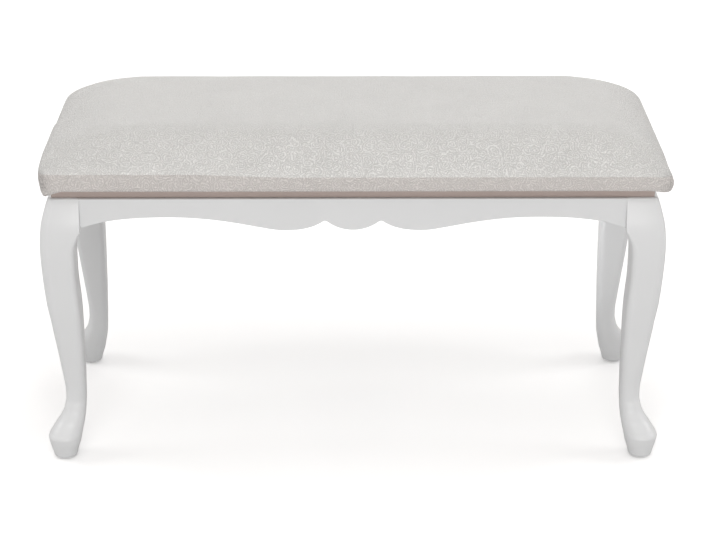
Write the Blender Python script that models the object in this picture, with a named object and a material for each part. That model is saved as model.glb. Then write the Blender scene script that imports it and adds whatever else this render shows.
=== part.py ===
"""Upholstered piano bench: a fixed domed seat on a low apron frame with four cabriole legs.

Metres, +Z up.  The origin is on the floor under the bench's middle, X runs along the bench and
the front faces -Y.  Each corner of the frame is an empty that carries its leg, floor glide,
corner block and bolt, turned a quarter turn from the last, because a leg is the same on both
sides of its diagonal.
"""

import math

import bmesh
import bpy

# Overall sizes.
BENCH_LENGTH = 0.900
BENCH_DEPTH = 0.360
FRAME_HEIGHT = 0.416  # floor to the top edge of the aprons
PAD_OVERHANG = 0.0125  # the pad's edge past the posts' outer faces
GAP = 0.0003  # between pieces that touch

# Legs: square posts that run down into cabriole legs.
POST_WIDTH = 0.046
GLIDE_HEIGHT = 0.003
GLIDE_RADIUS = 0.011
GLIDE_PIN_RADIUS = 0.0015
GLIDE_PIN_LENGTH = 0.012
CORNER_STEPS = 4  # flats on each rounded corner of a leg

# (height, reach past the post's outer face, set-back from the post's inner face)
FOOT_BASE = (GLIDE_HEIGHT + GAP, 0.0130, 0.0245)
FOOT_RIM = (0.0340, 0.0200, 0.0165)
# The same, from the foot's rim up to the calf, measured from the floor.
LOWER_LEG = (
    (0.0370, 0.0198, 0.0160),
    (0.0480, 0.0125, 0.0134),
    (0.0620, 0.0023, 0.0111),
    (0.0800, -0.0049, 0.0093),
    (0.0985, -0.0074, 0.0083),
    (0.1500, -0.0028, 0.0073),
    (0.2200, 0.0054, 0.0072),
)
# The same, from the calf to the knee, measured down from the frame's top.
KNEE = (
    (0.1160, 0.0126, 0.0104),
    (0.0810, 0.0136, 0.0100),
    (0.0700, 0.0133, 0.0082),
)
# (drop from the frame's top, reach) of the post, which swells down towards the knee.
POST_SWELL = ((0.0260, 0.0073), (0.0075, 0.0020), (0.0, -0.0012))
POST_FOOT_REACH = 0.0112  # reach at the aprons' lower ends

# (outer, seam and inner) corner radii of a leg's section.
FOOT_RADII = (0.0160, 0.0160, 0.0160)
RIM_RADII = (0.0230, 0.0230, 0.0200)
ANKLE_RADII = (0.0130, 0.0130, 0.0120)
KNEE_RADII = (0.0120, 0.0080, 0.0060)
POST_RADII = (0.0100, 0.0010, 0.0050)
KNEE_RADII_DROP = 0.0810

# Aprons, with depths measured down from the frame's top.
APRON_THICKNESS = 0.020
APRON_END_DEPTH = 0.0445
APRON_ARCH_DEPTH = 0.0277
APRON_LOBE_DEPTH = 0.0480
APRON_CUSP_DEPTH = 0.0320
CENTRE_LOBE_DEPTH = 0.0474
CUSP_X = 0.0400
LOBE_X = 0.0985
ARCH_PLACE = 0.57  # the arch's high point, from the lobe towards the post
SIDE_ARCH_DEPTH = 0.0300

# Dowels that join the aprons to the posts.
DOWEL_RADIUS = 0.004
DOWEL_LENGTH = 0.030
DOWEL_DROPS = (0.0120, 0.0320)

# Strips between the frame and the seat.
RISER_HEIGHT = 0.0150
RISER_SETBACK = 0.0060

# Corner blocks and the hanger bolts that pull the legs in.
BLOCK_CLEARANCE = 0.0060
BLOCK_THICKNESS = 0.0200
BLOCK_DROP = 0.0280
BOLT_RADIUS = 0.0030
BOLT_DROP = 0.0140
BOLT_BITE = 0.0220
BOLT_TAIL = 0.0035
BOLT_CLEARANCE = 0.0005
WASHER_RADIUS = 0.0080
WASHER_THICKNESS = 0.0015
NUT_WIDTH = 0.0100
NUT_THICKNESS = 0.0050

# Seat.
COVER_THICKNESS = 0.0015
COVER_FLAP = 0.0500
BOARD_THICKNESS = 0.0160
FOAM_EDGE = 0.0020
CROWN = 0.0560  # rise of the dome above the pad's edge
END_SHOULDER = 0.1850
END_ROUNDING = 2.1
SIDE_SHOULDER = 0.0550
SIDE_ROUNDING = 1.35
SEAT_CORNER_RADIUS = 0.0140
DUST_CLOTH_THICKNESS = 0.0005
SEAT_CELLS = (28, 16)
SCREW_RADIUS = 0.0020
SCREW_HEAD_RADIUS = 0.0040
SCREW_HEAD_HEIGHT = 0.0025
SCREW_BITE = 0.0100
SCREW_OFFSET = 0.0220

# Places that follow from the sizes above.
POST_HALF = POST_WIDTH / 2
POST_X = BENCH_LENGTH / 2 - PAD_OVERHANG - POST_HALF
POST_Y = BENCH_DEPTH / 2 - PAD_OVERHANG - POST_HALF
APRON_MID = POST_HALF - APRON_THICKNESS / 2
RISER_BOTTOM = FRAME_HEIGHT + GAP
RISER_TOP = RISER_BOTTOM + RISER_HEIGHT
COVER_BOTTOM = RISER_TOP + GAP
BOARD_BOTTOM = COVER_BOTTOM + COVER_THICKNESS + GAP
BOARD_TOP = BOARD_BOTTOM + BOARD_THICKNESS
FOAM_BOTTOM = BOARD_TOP + GAP
PAD_EDGE = FOAM_BOTTOM + FOAM_EDGE + GAP + COVER_THICKNESS
CLOTH_TOP = COVER_BOTTOM - GAP
BLOCK_TOP = CLOTH_TOP - DUST_CLOTH_THICKNESS - GAP
BLOCK_BOTTOM = FRAME_HEIGHT - BLOCK_DROP
DIAGONAL = math.sqrt(0.5)

CORNERS = {
    "back_right": (POST_X, POST_Y, 0),
    "back_left": (-POST_X, POST_Y, 1),
    "front_left": (-POST_X, -POST_Y, 2),
    "front_right": (POST_X, -POST_Y, 3),
}


# ------------------------------------------------------------------ shared tools


def clear_scene():
    """Empty the scene before the bench is built."""
    for old in list(bpy.data.objects):
        bpy.data.objects.remove(old, do_unlink=True)


def make_material(name, color, roughness, metallic=0.0):
    """One plain surface for the pieces of one substance."""
    material = bpy.data.materials.new(name)
    material.use_nodes = True
    shader = material.node_tree.nodes["Principled BSDF"]
    shader.inputs["Base Color"].default_value = (*color, 1.0)
    shader.inputs["Roughness"].default_value = roughness
    shader.inputs["Metallic"].default_value = metallic
    return material


def add_mesh(name, bm, material):
    """Close a bmesh into a mesh whose faces point outwards."""
    bmesh.ops.recalc_face_normals(bm, faces=bm.faces)
    mesh = bpy.data.meshes.new(name)
    bm.to_mesh(mesh)
    bm.free()
    mesh.materials.append(material)
    return mesh


def place(name, mesh, parent=None, location=(0.0, 0.0, 0.0), turn=0.0):
    """Put a mesh in the scene as one named piece, turned about Z."""
    piece = bpy.data.objects.new(name, mesh)
    bpy.context.collection.objects.link(piece)
    piece.parent = parent
    piece.location = location
    piece.rotation_euler = (0.0, 0.0, turn)
    return piece


def add_ring(bm, points):
    """Add one loop of vertices."""
    return [bm.verts.new(point) for point in points]


def join_rings(bm, first, second):
    """Wall of four-sided faces between two loops with the same count."""
    count = len(first)
    for i in range(count):
        j = (i + 1) % count
        bm.faces.new((first[i], first[j], second[j], second[i]))


def loft(name, rings, material):
    """Closed solid through a stack of loops."""
    bm = bmesh.new()
    loops = [add_ring(bm, ring) for ring in rings]
    for lower, upper in zip(loops, loops[1:]):
        join_rings(bm, lower, upper)
    bm.faces.new(loops[0])
    bm.faces.new(loops[-1])
    return add_mesh(name, bm, material)


def prism(name, outline, low, high, material):
    """Upright solid on a flat outline."""
    rings = [[(x, y, z) for x, y in outline] for z in (low, high)]
    return loft(name, rings, material)


def circle(radius, count, center=(0.0, 0.0)):
    """Points round a circle."""
    angles = [2 * math.pi * i / count for i in range(count)]
    return [(center[0] + radius * math.cos(a), center[1] + radius * math.sin(a)) for a in angles]


def turned(name, profile, count, material):
    """Solid turned about Z from (radius, height) points, flat at both ends."""
    rings = [[(x, y, z) for x, y in circle(radius, count)] for radius, z in profile]
    return loft(name, rings, material)


def drill(piece, holes):
    """Cut round holes, each (start, end, radius) in the piece's own axes."""
    bm = bmesh.new()
    for start, end, radius in holes:
        axis = [b - a for a, b in zip(start, end)]
        length = math.sqrt(sum(c * c for c in axis))
        axis = [c / length for c in axis]
        side = (-axis[1], axis[0], 0.0) if abs(axis[2]) < 0.5 else (1.0, 0.0, 0.0)
        norm = math.sqrt(sum(c * c for c in side))
        side = [c / norm for c in side]
        up = (
            axis[1] * side[2] - axis[2] * side[1],
            axis[2] * side[0] - axis[0] * side[2],
            axis[0] * side[1] - axis[1] * side[0],
        )
        loops = []
        for center in (start, end):
            ring = [
                [c + u * s + v * t for c, s, t in zip(center, side, up)]
                for u, v in circle(radius, 12)
            ]
            loops.append(add_ring(bm, ring))
        join_rings(bm, *loops)
        bm.faces.new(loops[0])
        bm.faces.new(loops[1])
    bmesh.ops.recalc_face_normals(bm, faces=bm.faces)
    mesh = bpy.data.meshes.new(piece.name + "_holes")
    bm.to_mesh(mesh)
    bm.free()
    cutter = place(piece.name + "_holes", mesh, piece.parent, piece.location, piece.rotation_euler.z)
    cutter.hide_render = True
    cutter.display_type = "WIRE"
    cut = piece.modifiers.new("holes", "BOOLEAN")
    cut.operation = "DIFFERENCE"
    cut.solver = "EXACT"
    cut.object = cutter


def smooth_value(points, height):
    """Value at a height on a smooth curve through (height, value) points, with no overshoot."""
    count = len(points)
    steps = [
        (points[i + 1][1] - points[i][1]) / (points[i + 1][0] - points[i][0])
        for i in range(count - 1)
    ]
    slopes = [steps[0]]
    for before, after in zip(steps, steps[1:]):
        level = before * after <= 0
        slopes.append(0.0 if level else 2 * before * after / (before + after))
    slopes.append(steps[-1])
    place_at = 0
    while place_at < count - 2 and height > points[place_at + 1][0]:
        place_at += 1
    low, high = points[place_at], points[place_at + 1]
    span = high[0] - low[0]
    t = min(max((height - low[0]) / span, 0.0), 1.0)
    return (
        (1 + 2 * t) * (1 - t) ** 2 * low[1]
        + t * (1 - t) ** 2 * span * slopes[place_at]
        + t * t * (3 - 2 * t) * high[1]
        - t * t * (1 - t) * span * slopes[place_at + 1]
    )


def bezier(start, first, second, end, steps):
    """Points along a cubic curve, without its first point."""
    points = []
    for i in range(1, steps + 1):
        t = i / steps
        weights = ((1 - t) ** 3, 3 * t * (1 - t) ** 2, 3 * t * t * (1 - t), t**3)
        corners = (start, first, second, end)
        points.append(tuple(sum(w * p[k] for w, p in zip(weights, corners)) for k in (0, 1)))
    return points


# ------------------------------------------------------------------ legs


def leg_lines():
    """(height, reach) and (height, set-back) points of a leg above its foot's rim."""
    stations = list(LOWER_LEG)
    stations += [(FRAME_HEIGHT - drop, reach, back) for drop, reach, back in KNEE]
    stations.append((FRAME_HEIGHT - APRON_END_DEPTH, POST_FOOT_REACH, 0.0))
    stations += [(FRAME_HEIGHT - drop, reach, 0.0) for drop, reach in POST_SWELL]
    outer = [(height, reach) for height, reach, back in stations]
    inner = [(height, back) for height, reach, back in stations]
    return outer, inner


def leg_radius(corner, height):
    """Radius of one kind of corner (0 outer, 1 seam, 2 inner) at a height."""
    post_foot = FRAME_HEIGHT - APRON_END_DEPTH
    stations = (
        (FOOT_RIM[0], RIM_RADII[corner]),
        (LOWER_LEG[4][0], ANKLE_RADII[corner]),
        (FRAME_HEIGHT - KNEE_RADII_DROP, KNEE_RADII[corner]),
        (post_foot, POST_RADII[corner]),
        (FRAME_HEIGHT, POST_RADII[corner]),
    )
    return smooth_value(stations, height)


def leg_section(height, reach, back, radii):
    """Rounded square across a leg, in the corner's axes with the outer corner at +X +Y."""
    outer = POST_HALF + reach
    inner = -POST_HALF + back
    corners = (
        (outer, outer, radii[0], 0),
        (inner, outer, radii[1], 1),
        (inner, inner, radii[2], 2),
        (outer, inner, radii[1], 3),
    )
    points = []
    for x, y, radius, quarter in corners:
        center_x = x - math.copysign(radius, x - (outer + inner) / 2)
        center_y = y - math.copysign(radius, y - (outer + inner) / 2)
        for i in range(CORNER_STEPS + 1):
            angle = (quarter + i / CORNER_STEPS) * math.pi / 2
            point = (center_x + radius * math.cos(angle), center_y + radius * math.sin(angle), height)
            points.append(point)
    return points


def leg_heights():
    """Heights of the sections above the foot's rim, closer together where the leg turns."""
    stops = (
        (LOWER_LEG[0][0], LOWER_LEG[4][0], 6),
        (LOWER_LEG[4][0], FRAME_HEIGHT - KNEE[0][0], 5),
        (FRAME_HEIGHT - KNEE[0][0], FRAME_HEIGHT - APRON_END_DEPTH, 5),
        (FRAME_HEIGHT - APRON_END_DEPTH, FRAME_HEIGHT, 4),
    )
    heights = [stops[0][0]]
    for low, high, count in stops:
        heights += [low + (high - low) * (i + 1) / count for i in range(count)]
    return heights


def make_leg_mesh(material):
    """Cabriole leg with its post, foot rim and tapered base."""
    outer, inner = leg_lines()
    rings = [leg_section(*FOOT_BASE, FOOT_RADII), leg_section(*FOOT_RIM, RIM_RADII)]
    for height in leg_heights():
        reach = smooth_value(outer, height)
        back = smooth_value(inner, height)
        radii = [leg_radius(corner, height) for corner in range(3)]
        rings.append(leg_section(height, reach, back, radii))
    return loft("leg", rings, material)


def foot_center():
    """Offset of the foot's middle from the post's middle, the same along X and Y."""
    return (FOOT_BASE[1] + FOOT_BASE[2]) / 2


def leg_holes():
    """Holes for the dowels of both aprons, the hanger bolt and the glide's pin."""
    reach = DOWEL_LENGTH / 2 + GAP
    radius = DOWEL_RADIUS + GAP
    inner = -POST_HALF
    holes = []
    for drop in DOWEL_DROPS:
        z = FRAME_HEIGHT - drop
        holes.append(((inner - reach, APRON_MID, z), (inner + reach, APRON_MID, z), radius))
        holes.append(((APRON_MID, inner - reach, z), (APRON_MID, inner + reach, z), radius))
    z = FRAME_HEIGHT - BOLT_DROP
    deep = inner + (BOLT_BITE + GAP) * DIAGONAL
    holes.append(((2 * inner, 2 * inner, z), (deep, deep, z), BOLT_RADIUS + GAP))
    foot = foot_center()
    top = GLIDE_HEIGHT + GLIDE_PIN_LENGTH + GAP
    holes.append(((foot, foot, 0.0), (foot, foot, top), GLIDE_PIN_RADIUS + GAP))
    return holes


def make_glide_mesh(material):
    """Round floor glide with its pin, standing on the floor."""
    top = GLIDE_HEIGHT
    profile = (
        (GLIDE_RADIUS - 0.0008, 0.0),
        (GLIDE_RADIUS, 0.0008),
        (GLIDE_RADIUS, top),
        (GLIDE_PIN_RADIUS, top),
        (GLIDE_PIN_RADIUS, top + GLIDE_PIN_LENGTH),
    )
    return turned("foot_glide", profile, 24, material)


# ------------------------------------------------------------------ corner blocks and bolts


def block_reach():
    """Distances of a corner block's two faces from the post's middle, inwards on the diagonal."""
    outer = POST_WIDTH * DIAGONAL + BLOCK_CLEARANCE
    return outer, outer + BLOCK_THICKNESS


def block_outline():
    """Plan of a corner block, between the inner faces of both aprons."""
    wall = POST_HALF - APRON_THICKNESS - GAP
    outer, inner = (-2 * DIAGONAL * reach for reach in block_reach())
    return (
        (outer - wall, wall),
        (inner - wall, wall),
        (wall, inner - wall),
        (wall, outer - wall),
    )


def screw_place():
    """Seat screw in the corner's axes: midway through the block, to one side of the bolt."""
    middle = -DIAGONAL * sum(block_reach()) / 2
    aside = SCREW_OFFSET * DIAGONAL
    return middle + aside, middle - aside


def block_holes():
    """Clearance holes for the hanger bolt and the seat screw."""
    outer, inner = block_reach()
    z = FRAME_HEIGHT - BOLT_DROP
    near = -(outer - GAP * 4) * DIAGONAL
    far = -(inner + GAP * 4) * DIAGONAL
    x, y = screw_place()
    radius = SCREW_RADIUS + BOLT_CLEARANCE
    return [
        ((near, near, z), (far, far, z), BOLT_RADIUS + BOLT_CLEARANCE),
        ((x, y, BLOCK_BOTTOM - GAP * 4), (x, y, BLOCK_TOP + GAP * 4), radius),
    ]


def make_bolt_mesh(material):
    """Hanger bolt along +Z, from its tail behind the nut to its point in the post."""
    outer, inner = block_reach()
    tail = -(inner + 2 * GAP + WASHER_THICKNESS + GAP + NUT_THICKNESS + BOLT_TAIL)
    point = -POST_WIDTH * DIAGONAL + BOLT_BITE
    chamfer = 0.0008
    profile = (
        (BOLT_RADIUS - chamfer, tail),
        (BOLT_RADIUS, tail + chamfer),
        (BOLT_RADIUS, point - 3 * chamfer),
        (BOLT_RADIUS - 2 * chamfer, point),
    )
    return turned("hanger_bolt", profile, 12, material)


def make_collar_mesh(name, outer_points, thickness, material):
    """Flat ring with the bolt's clearance hole, lying on z = 0."""
    hole = circle(BOLT_RADIUS + GAP, len(outer_points))
    bm = bmesh.new()
    loops = []
    for points, z in ((hole, 0.0), (outer_points, 0.0), (outer_points, thickness), (hole, thickness)):
        loops.append(add_ring(bm, [(x, y, z) for x, y in points]))
    for i in range(4):
        join_rings(bm, loops[i], loops[(i + 1) % 4])
    return add_mesh(name, bm, material)


def hexagon_outline(width):
    """Hexagon with a point at each corner and at the middle of each side."""
    points = []
    for i in range(12):
        angle = math.pi * i / 6
        radius = width / 2 if i % 2 else width / 2 / math.cos(math.pi / 6)
        points.append((radius * math.cos(angle), radius * math.sin(angle)))
    return points


def lay_on_diagonal(piece, reach):
    """Point a piece's +Z outwards along the corner's diagonal, its origin inwards of the post."""
    piece.rotation_euler = (0.0, math.pi / 2, math.pi / 4)
    piece.location = (-reach * DIAGONAL, -reach * DIAGONAL, FRAME_HEIGHT - BOLT_DROP)


def make_screw_mesh(material):
    """Seat screw standing on its head, with the head's face at z = 0."""
    top = BOARD_BOTTOM + SCREW_BITE - (BLOCK_BOTTOM - GAP - SCREW_HEAD_HEIGHT)
    profile = (
        (SCREW_HEAD_RADIUS * 0.6, 0.0),
        (SCREW_HEAD_RADIUS, SCREW_HEAD_HEIGHT * 0.5),
        (SCREW_HEAD_RADIUS, SCREW_HEAD_HEIGHT),
        (SCREW_RADIUS, SCREW_HEAD_HEIGHT),
        (SCREW_RADIUS, top - 2 * SCREW_RADIUS),
        (SCREW_RADIUS * 0.3, top),
    )
    return turned("seat_screw", profile, 12, material)


def build_corners(lacquer, beech, steel, plastic):
    """Leg, glide, corner block, bolt, washer, nut and seat screw at each corner."""
    leg_mesh = make_leg_mesh(lacquer)
    glide_mesh = make_glide_mesh(plastic)
    block_mesh = prism("corner_block", block_outline(), BLOCK_BOTTOM, BLOCK_TOP, beech)
    bolt_mesh = make_bolt_mesh(steel)
    washer_mesh = make_collar_mesh("washer", circle(WASHER_RADIUS, 20), WASHER_THICKNESS, steel)
    nut_mesh = make_collar_mesh("nut", hexagon_outline(NUT_WIDTH), NUT_THICKNESS, steel)
    screw_mesh = make_screw_mesh(steel)
    foot = foot_center()
    washer_reach = block_reach()[1] + GAP + WASHER_THICKNESS
    nut_reach = washer_reach + GAP + NUT_THICKNESS
    screw_x, screw_y = screw_place()
    for corner, (x, y, quarter) in CORNERS.items():
        hub = place("corner_" + corner, None, None, (x, y, 0.0), quarter * math.pi / 2)
        leg = place("leg_" + corner, leg_mesh, hub)
        drill(leg, leg_holes())
        place("foot_glide_" + corner, glide_mesh, hub, (foot, foot, 0.0))
        block = place("corner_block_" + corner, block_mesh, hub)
        drill(block, block_holes())
        bolt = place("hanger_bolt_" + corner, bolt_mesh, hub)
        lay_on_diagonal(bolt, 0.0)
        washer = place("washer_" + corner, washer_mesh, hub)
        lay_on_diagonal(washer, washer_reach)
        nut = place("nut_" + corner, nut_mesh, hub)
        lay_on_diagonal(nut, nut_reach)
        screw_low = BLOCK_BOTTOM - GAP - SCREW_HEAD_HEIGHT
        place("seat_screw_" + corner, screw_mesh, hub, (screw_x, screw_y, screw_low))


# ------------------------------------------------------------------ aprons and dowels


def long_apron_edge(half):
    """Lower edge of a long apron from its middle to its end, as (x, depth) points."""
    lobe_radius = (CUSP_X**2 + (CENTRE_LOBE_DEPTH - APRON_CUSP_DEPTH) ** 2) / (
        2 * (CENTRE_LOBE_DEPTH - APRON_CUSP_DEPTH)
    )
    edge = []
    for i in range(6):
        x = CUSP_X * i / 5
        rise = lobe_radius - math.sqrt(lobe_radius**2 - x**2)
        edge.append((x, CENTRE_LOBE_DEPTH - rise))
    cusp, lobe = (CUSP_X, APRON_CUSP_DEPTH), (LOBE_X, APRON_LOBE_DEPTH)
    arch = (LOBE_X + ARCH_PLACE * (half - LOBE_X), APRON_ARCH_DEPTH)
    end = (half, APRON_END_DEPTH)
    reach = LOBE_X - CUSP_X
    edge += bezier(cusp, (CUSP_X + 0.25 * reach, 0.72 * lobe[1] + 0.28 * cusp[1]),
                   (LOBE_X - 0.45 * reach, lobe[1]), lobe, 7)
    reach = arch[0] - LOBE_X
    edge += bezier(lobe, (LOBE_X + 0.18 * reach, lobe[1]),
                   (arch[0] - 0.51 * reach, arch[1]), arch, 9)
    reach = half - arch[0]
    edge += bezier(arch, (arch[0] + 0.47 * reach, arch[1]),
                   (half - 0.25 * reach, 0.69 * arch[1] + 0.31 * end[1]), end, 7)
    return edge


def side_apron_edge(half):
    """Lower edge of a side apron from its middle to its end: one shallow arch."""
    middle, end = (0.0, SIDE_ARCH_DEPTH), (half, APRON_END_DEPTH)
    handles = ((0.5 * half, middle[1]), (0.8 * half, 0.6 * middle[1] + 0.4 * end[1]))
    return [middle] + bezier(middle, *handles, end, 9)


def make_apron_mesh(name, edge, material):
    """Board with a shaped lower edge, its outer face on y = 0 and its top on z = 0."""
    half = edge[-1][0]
    right = [(x, -depth) for x, depth in edge]
    left = [(-x, z) for x, z in reversed(right[1:])]
    outline = left + right + [(half, 0.0), (-half, 0.0)]
    rings = [[(x, y, z) for x, z in outline] for y in (0.0, APRON_THICKNESS)]
    return loft(name, rings, material)


def apron_holes(half):
    """Dowel holes in both ends of an apron."""
    reach = DOWEL_LENGTH / 2 + GAP
    middle = APRON_THICKNESS / 2
    holes = []
    for side in (-1, 1):
        for drop in DOWEL_DROPS:
            start = (side * (half - reach), middle, -drop)
            end = (side * (half + reach), middle, -drop)
            holes.append((start, end, DOWEL_RADIUS + GAP))
    return holes


def make_dowel_mesh(material):
    """Wooden dowel along +Z with chamfered ends, centred on its middle."""
    chamfer = 0.001
    half = DOWEL_LENGTH / 2
    profile = (
        (DOWEL_RADIUS - chamfer, -half),
        (DOWEL_RADIUS, chamfer - half),
        (DOWEL_RADIUS, half - chamfer),
        (DOWEL_RADIUS - chamfer, half),
    )
    return turned("dowel", profile, 12, material)


def build_aprons(lacquer, beech):
    """Four aprons butted between the posts, and the dowels in their ends."""
    half_long = POST_X - POST_HALF - GAP
    half_side = POST_Y - POST_HALF - GAP
    long_mesh = make_apron_mesh("apron_long", long_apron_edge(half_long), lacquer)
    side_mesh = make_apron_mesh("apron_side", side_apron_edge(half_side), lacquer)
    dowel_mesh = make_dowel_mesh(beech)
    face_x, face_y = POST_X + POST_HALF, POST_Y + POST_HALF
    aprons = (
        ("front", long_mesh, half_long, (0.0, -face_y, FRAME_HEIGHT), 0),
        ("right", side_mesh, half_side, (face_x, 0.0, FRAME_HEIGHT), 1),
        ("back", long_mesh, half_long, (0.0, face_y, FRAME_HEIGHT), 2),
        ("left", side_mesh, half_side, (-face_x, 0.0, FRAME_HEIGHT), 3),
    )
    for side, mesh, half, location, quarter in aprons:
        hub = place("side_" + side, None, None, location, quarter * math.pi / 2)
        apron = place("apron_" + side, mesh, hub)
        drill(apron, apron_holes(half))
        for end, sign in (("a", -1), ("b", 1)):
            for row, drop in enumerate(DOWEL_DROPS, 1):
                spot = (sign * (half + GAP / 2), APRON_THICKNESS / 2, -drop)
                dowel = place(f"dowel_{side}_{end}{row}", dowel_mesh, hub, spot)
                dowel.rotation_euler = (0.0, math.pi / 2, 0.0)


# ------------------------------------------------------------------ seat


def build_risers(lacquer):
    """Four strips, set back from the frame's faces, that carry the seat."""
    outer_x = POST_X + POST_HALF - RISER_SETBACK
    outer_y = POST_Y + POST_HALF - RISER_SETBACK
    inner_x = POST_X + POST_HALF - APRON_THICKNESS
    inner_y = POST_Y + POST_HALF - APRON_THICKNESS
    strips = {
        "front": (-outer_x, outer_x, -outer_y, -inner_y),
        "back": (-outer_x, outer_x, inner_y, outer_y),
        "left": (-outer_x, -inner_x, GAP - inner_y, inner_y - GAP),
        "right": (inner_x, outer_x, GAP - inner_y, inner_y - GAP),
    }
    for side, (x0, x1, y0, y1) in strips.items():
        outline = ((x0, y0), (x1, y0), (x1, y1), (x0, y1))
        place("riser_" + side, prism("riser_" + side, outline, RISER_BOTTOM, RISER_TOP, lacquer))


def seat_lines(half, cells):
    """Grid lines across one direction of the seat, closer together at both edges."""
    return [half * math.sin(math.pi * (i / cells - 0.5)) for i in range(cells + 1)]


def round_corner(x, y, half_x, half_y, radius):
    """Pull a grid point near a square corner on to a rounded one."""
    a = (abs(x) - (half_x - radius)) / radius
    b = (abs(y) - (half_y - radius)) / radius
    if a <= 0 or b <= 0:
        return x, y
    new_x = half_x - radius + radius * a * math.sqrt(1 - b * b / 2)
    new_y = half_y - radius + radius * b * math.sqrt(1 - a * a / 2)
    return math.copysign(new_x, x), math.copysign(new_y, y)


def shoulder(distance, width, rounding):
    """Share of the dome's full rise at a distance in from an edge."""
    t = min(max(distance / width, 0.0), 1.0)
    return (1 - (1 - t) ** rounding) ** (1 / rounding)


def seat_grid(inset, edge_height):
    """Rows of points over the dome, drawn in by the inset on every side."""
    half_x = BENCH_LENGTH / 2 - inset
    half_y = BENCH_DEPTH / 2 - inset
    radius = SEAT_CORNER_RADIUS - inset
    rows = []
    for y in seat_lines(half_y, SEAT_CELLS[1]):
        row = []
        for x in seat_lines(half_x, SEAT_CELLS[0]):
            ends = shoulder(half_x - abs(x), END_SHOULDER, END_ROUNDING)
            sides = shoulder(half_y - abs(y), SIDE_SHOULDER, SIDE_ROUNDING)
            spot = round_corner(x, y, half_x, half_y, radius)
            row.append((*spot, edge_height + CROWN * ends * sides))
        rows.append(row)
    return rows


def rim_of(rows):
    """Loop of grid entries round the outside of a grid, in order."""
    last = len(rows) - 1
    loop = list(rows[0])
    loop += [rows[i][-1] for i in range(1, last)]
    loop += list(reversed(rows[last]))
    loop += [rows[i][0] for i in range(last - 1, 0, -1)]
    return loop


def add_dome(bm, inset, edge_height):
    """Faces over the dome; returns the loop of vertices at its edge."""
    rows = [[bm.verts.new(point) for point in row] for row in seat_grid(inset, edge_height)]
    for near, far in zip(rows, rows[1:]):
        for i in range(len(near) - 1):
            bm.faces.new((near[i], near[i + 1], far[i + 1], far[i]))
    return rim_of(rows)


def seat_outline(inset):
    """Plan outline of the seat drawn in by the inset."""
    return [(x, y) for x, y, z in rim_of(seat_grid(inset, 0.0))]


def make_foam_mesh(material):
    """Foam pad with its domed top and a thin upright edge."""
    inset = COVER_THICKNESS + GAP
    bm = bmesh.new()
    rim = add_dome(bm, inset, FOAM_BOTTOM + FOAM_EDGE)
    foot = add_ring(bm, [(x, y, FOAM_BOTTOM) for x, y in seat_outline(inset)])
    join_rings(bm, rim, foot)
    bm.faces.new(foot)
    return add_mesh("foam_pad", bm, material)


def make_cover_mesh(material):
    """Fabric cover: dome, upright band and the flap turned in under the board."""
    bm = bmesh.new()
    outer_rim = add_dome(bm, 0.0, PAD_EDGE)
    inner_rim = add_dome(bm, COVER_THICKNESS, PAD_EDGE - COVER_THICKNESS)
    flap_low = COVER_BOTTOM
    flap_high = COVER_BOTTOM + COVER_THICKNESS
    half_x = BENCH_LENGTH / 2 - COVER_FLAP
    half_y = BENCH_DEPTH / 2 - COVER_FLAP
    flap_edge = [
        (x * half_x * 2 / BENCH_LENGTH, y * half_y * 2 / BENCH_DEPTH) for x, y in seat_outline(0.0)
    ]
    loops = [
        outer_rim,
        add_ring(bm, [(x, y, flap_low) for x, y in seat_outline(0.0)]),
        add_ring(bm, [(x, y, flap_low) for x, y in flap_edge]),
        add_ring(bm, [(x, y, flap_high) for x, y in flap_edge]),
        add_ring(bm, [(x, y, flap_high) for x, y in seat_outline(COVER_THICKNESS)]),
        inner_rim,
    ]
    for first, second in zip(loops, loops[1:]):
        join_rings(bm, first, second)
    return add_mesh("seat_cover", bm, material)


def seat_screw_spots():
    """World places of the four seat screws."""
    x, y = screw_place()
    spots = []
    for post_x, post_y, quarter in CORNERS.values():
        cosine, sine = round(math.cos(quarter * math.pi / 2)), round(math.sin(quarter * math.pi / 2))
        spots.append((post_x + cosine * x - sine * y, post_y + sine * x + cosine * y))
    return spots


def build_seat(fabric, foam, plywood, cloth):
    """Board, foam, cover and the dust cloth under the board."""
    board_inset = COVER_THICKNESS + GAP
    board_mesh = prism("seat_board", seat_outline(board_inset), BOARD_BOTTOM, BOARD_TOP, plywood)
    board = place("seat_board", board_mesh)
    top = BOARD_BOTTOM + SCREW_BITE + GAP
    low = BOARD_BOTTOM - GAP * 4
    drill(board, [((x, y, low), (x, y, top), SCREW_RADIUS + GAP) for x, y in seat_screw_spots()])
    place("foam_pad", make_foam_mesh(foam))
    place("seat_cover", make_cover_mesh(fabric))
    half_x = POST_X + POST_HALF - APRON_THICKNESS - GAP * 2
    half_y = POST_Y + POST_HALF - APRON_THICKNESS - GAP * 2
    outline = ((-half_x, -half_y), (half_x, -half_y), (half_x, half_y), (-half_x, half_y))
    cloth_low = CLOTH_TOP - DUST_CLOTH_THICKNESS
    dust_cloth = place("dust_cloth", prism("dust_cloth", outline, cloth_low, CLOTH_TOP, cloth))
    low = cloth_low - GAP
    top = CLOTH_TOP + GAP
    drill(dust_cloth, [((x, y, low), (x, y, top), SCREW_RADIUS + GAP) for x, y in seat_screw_spots()])


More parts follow.
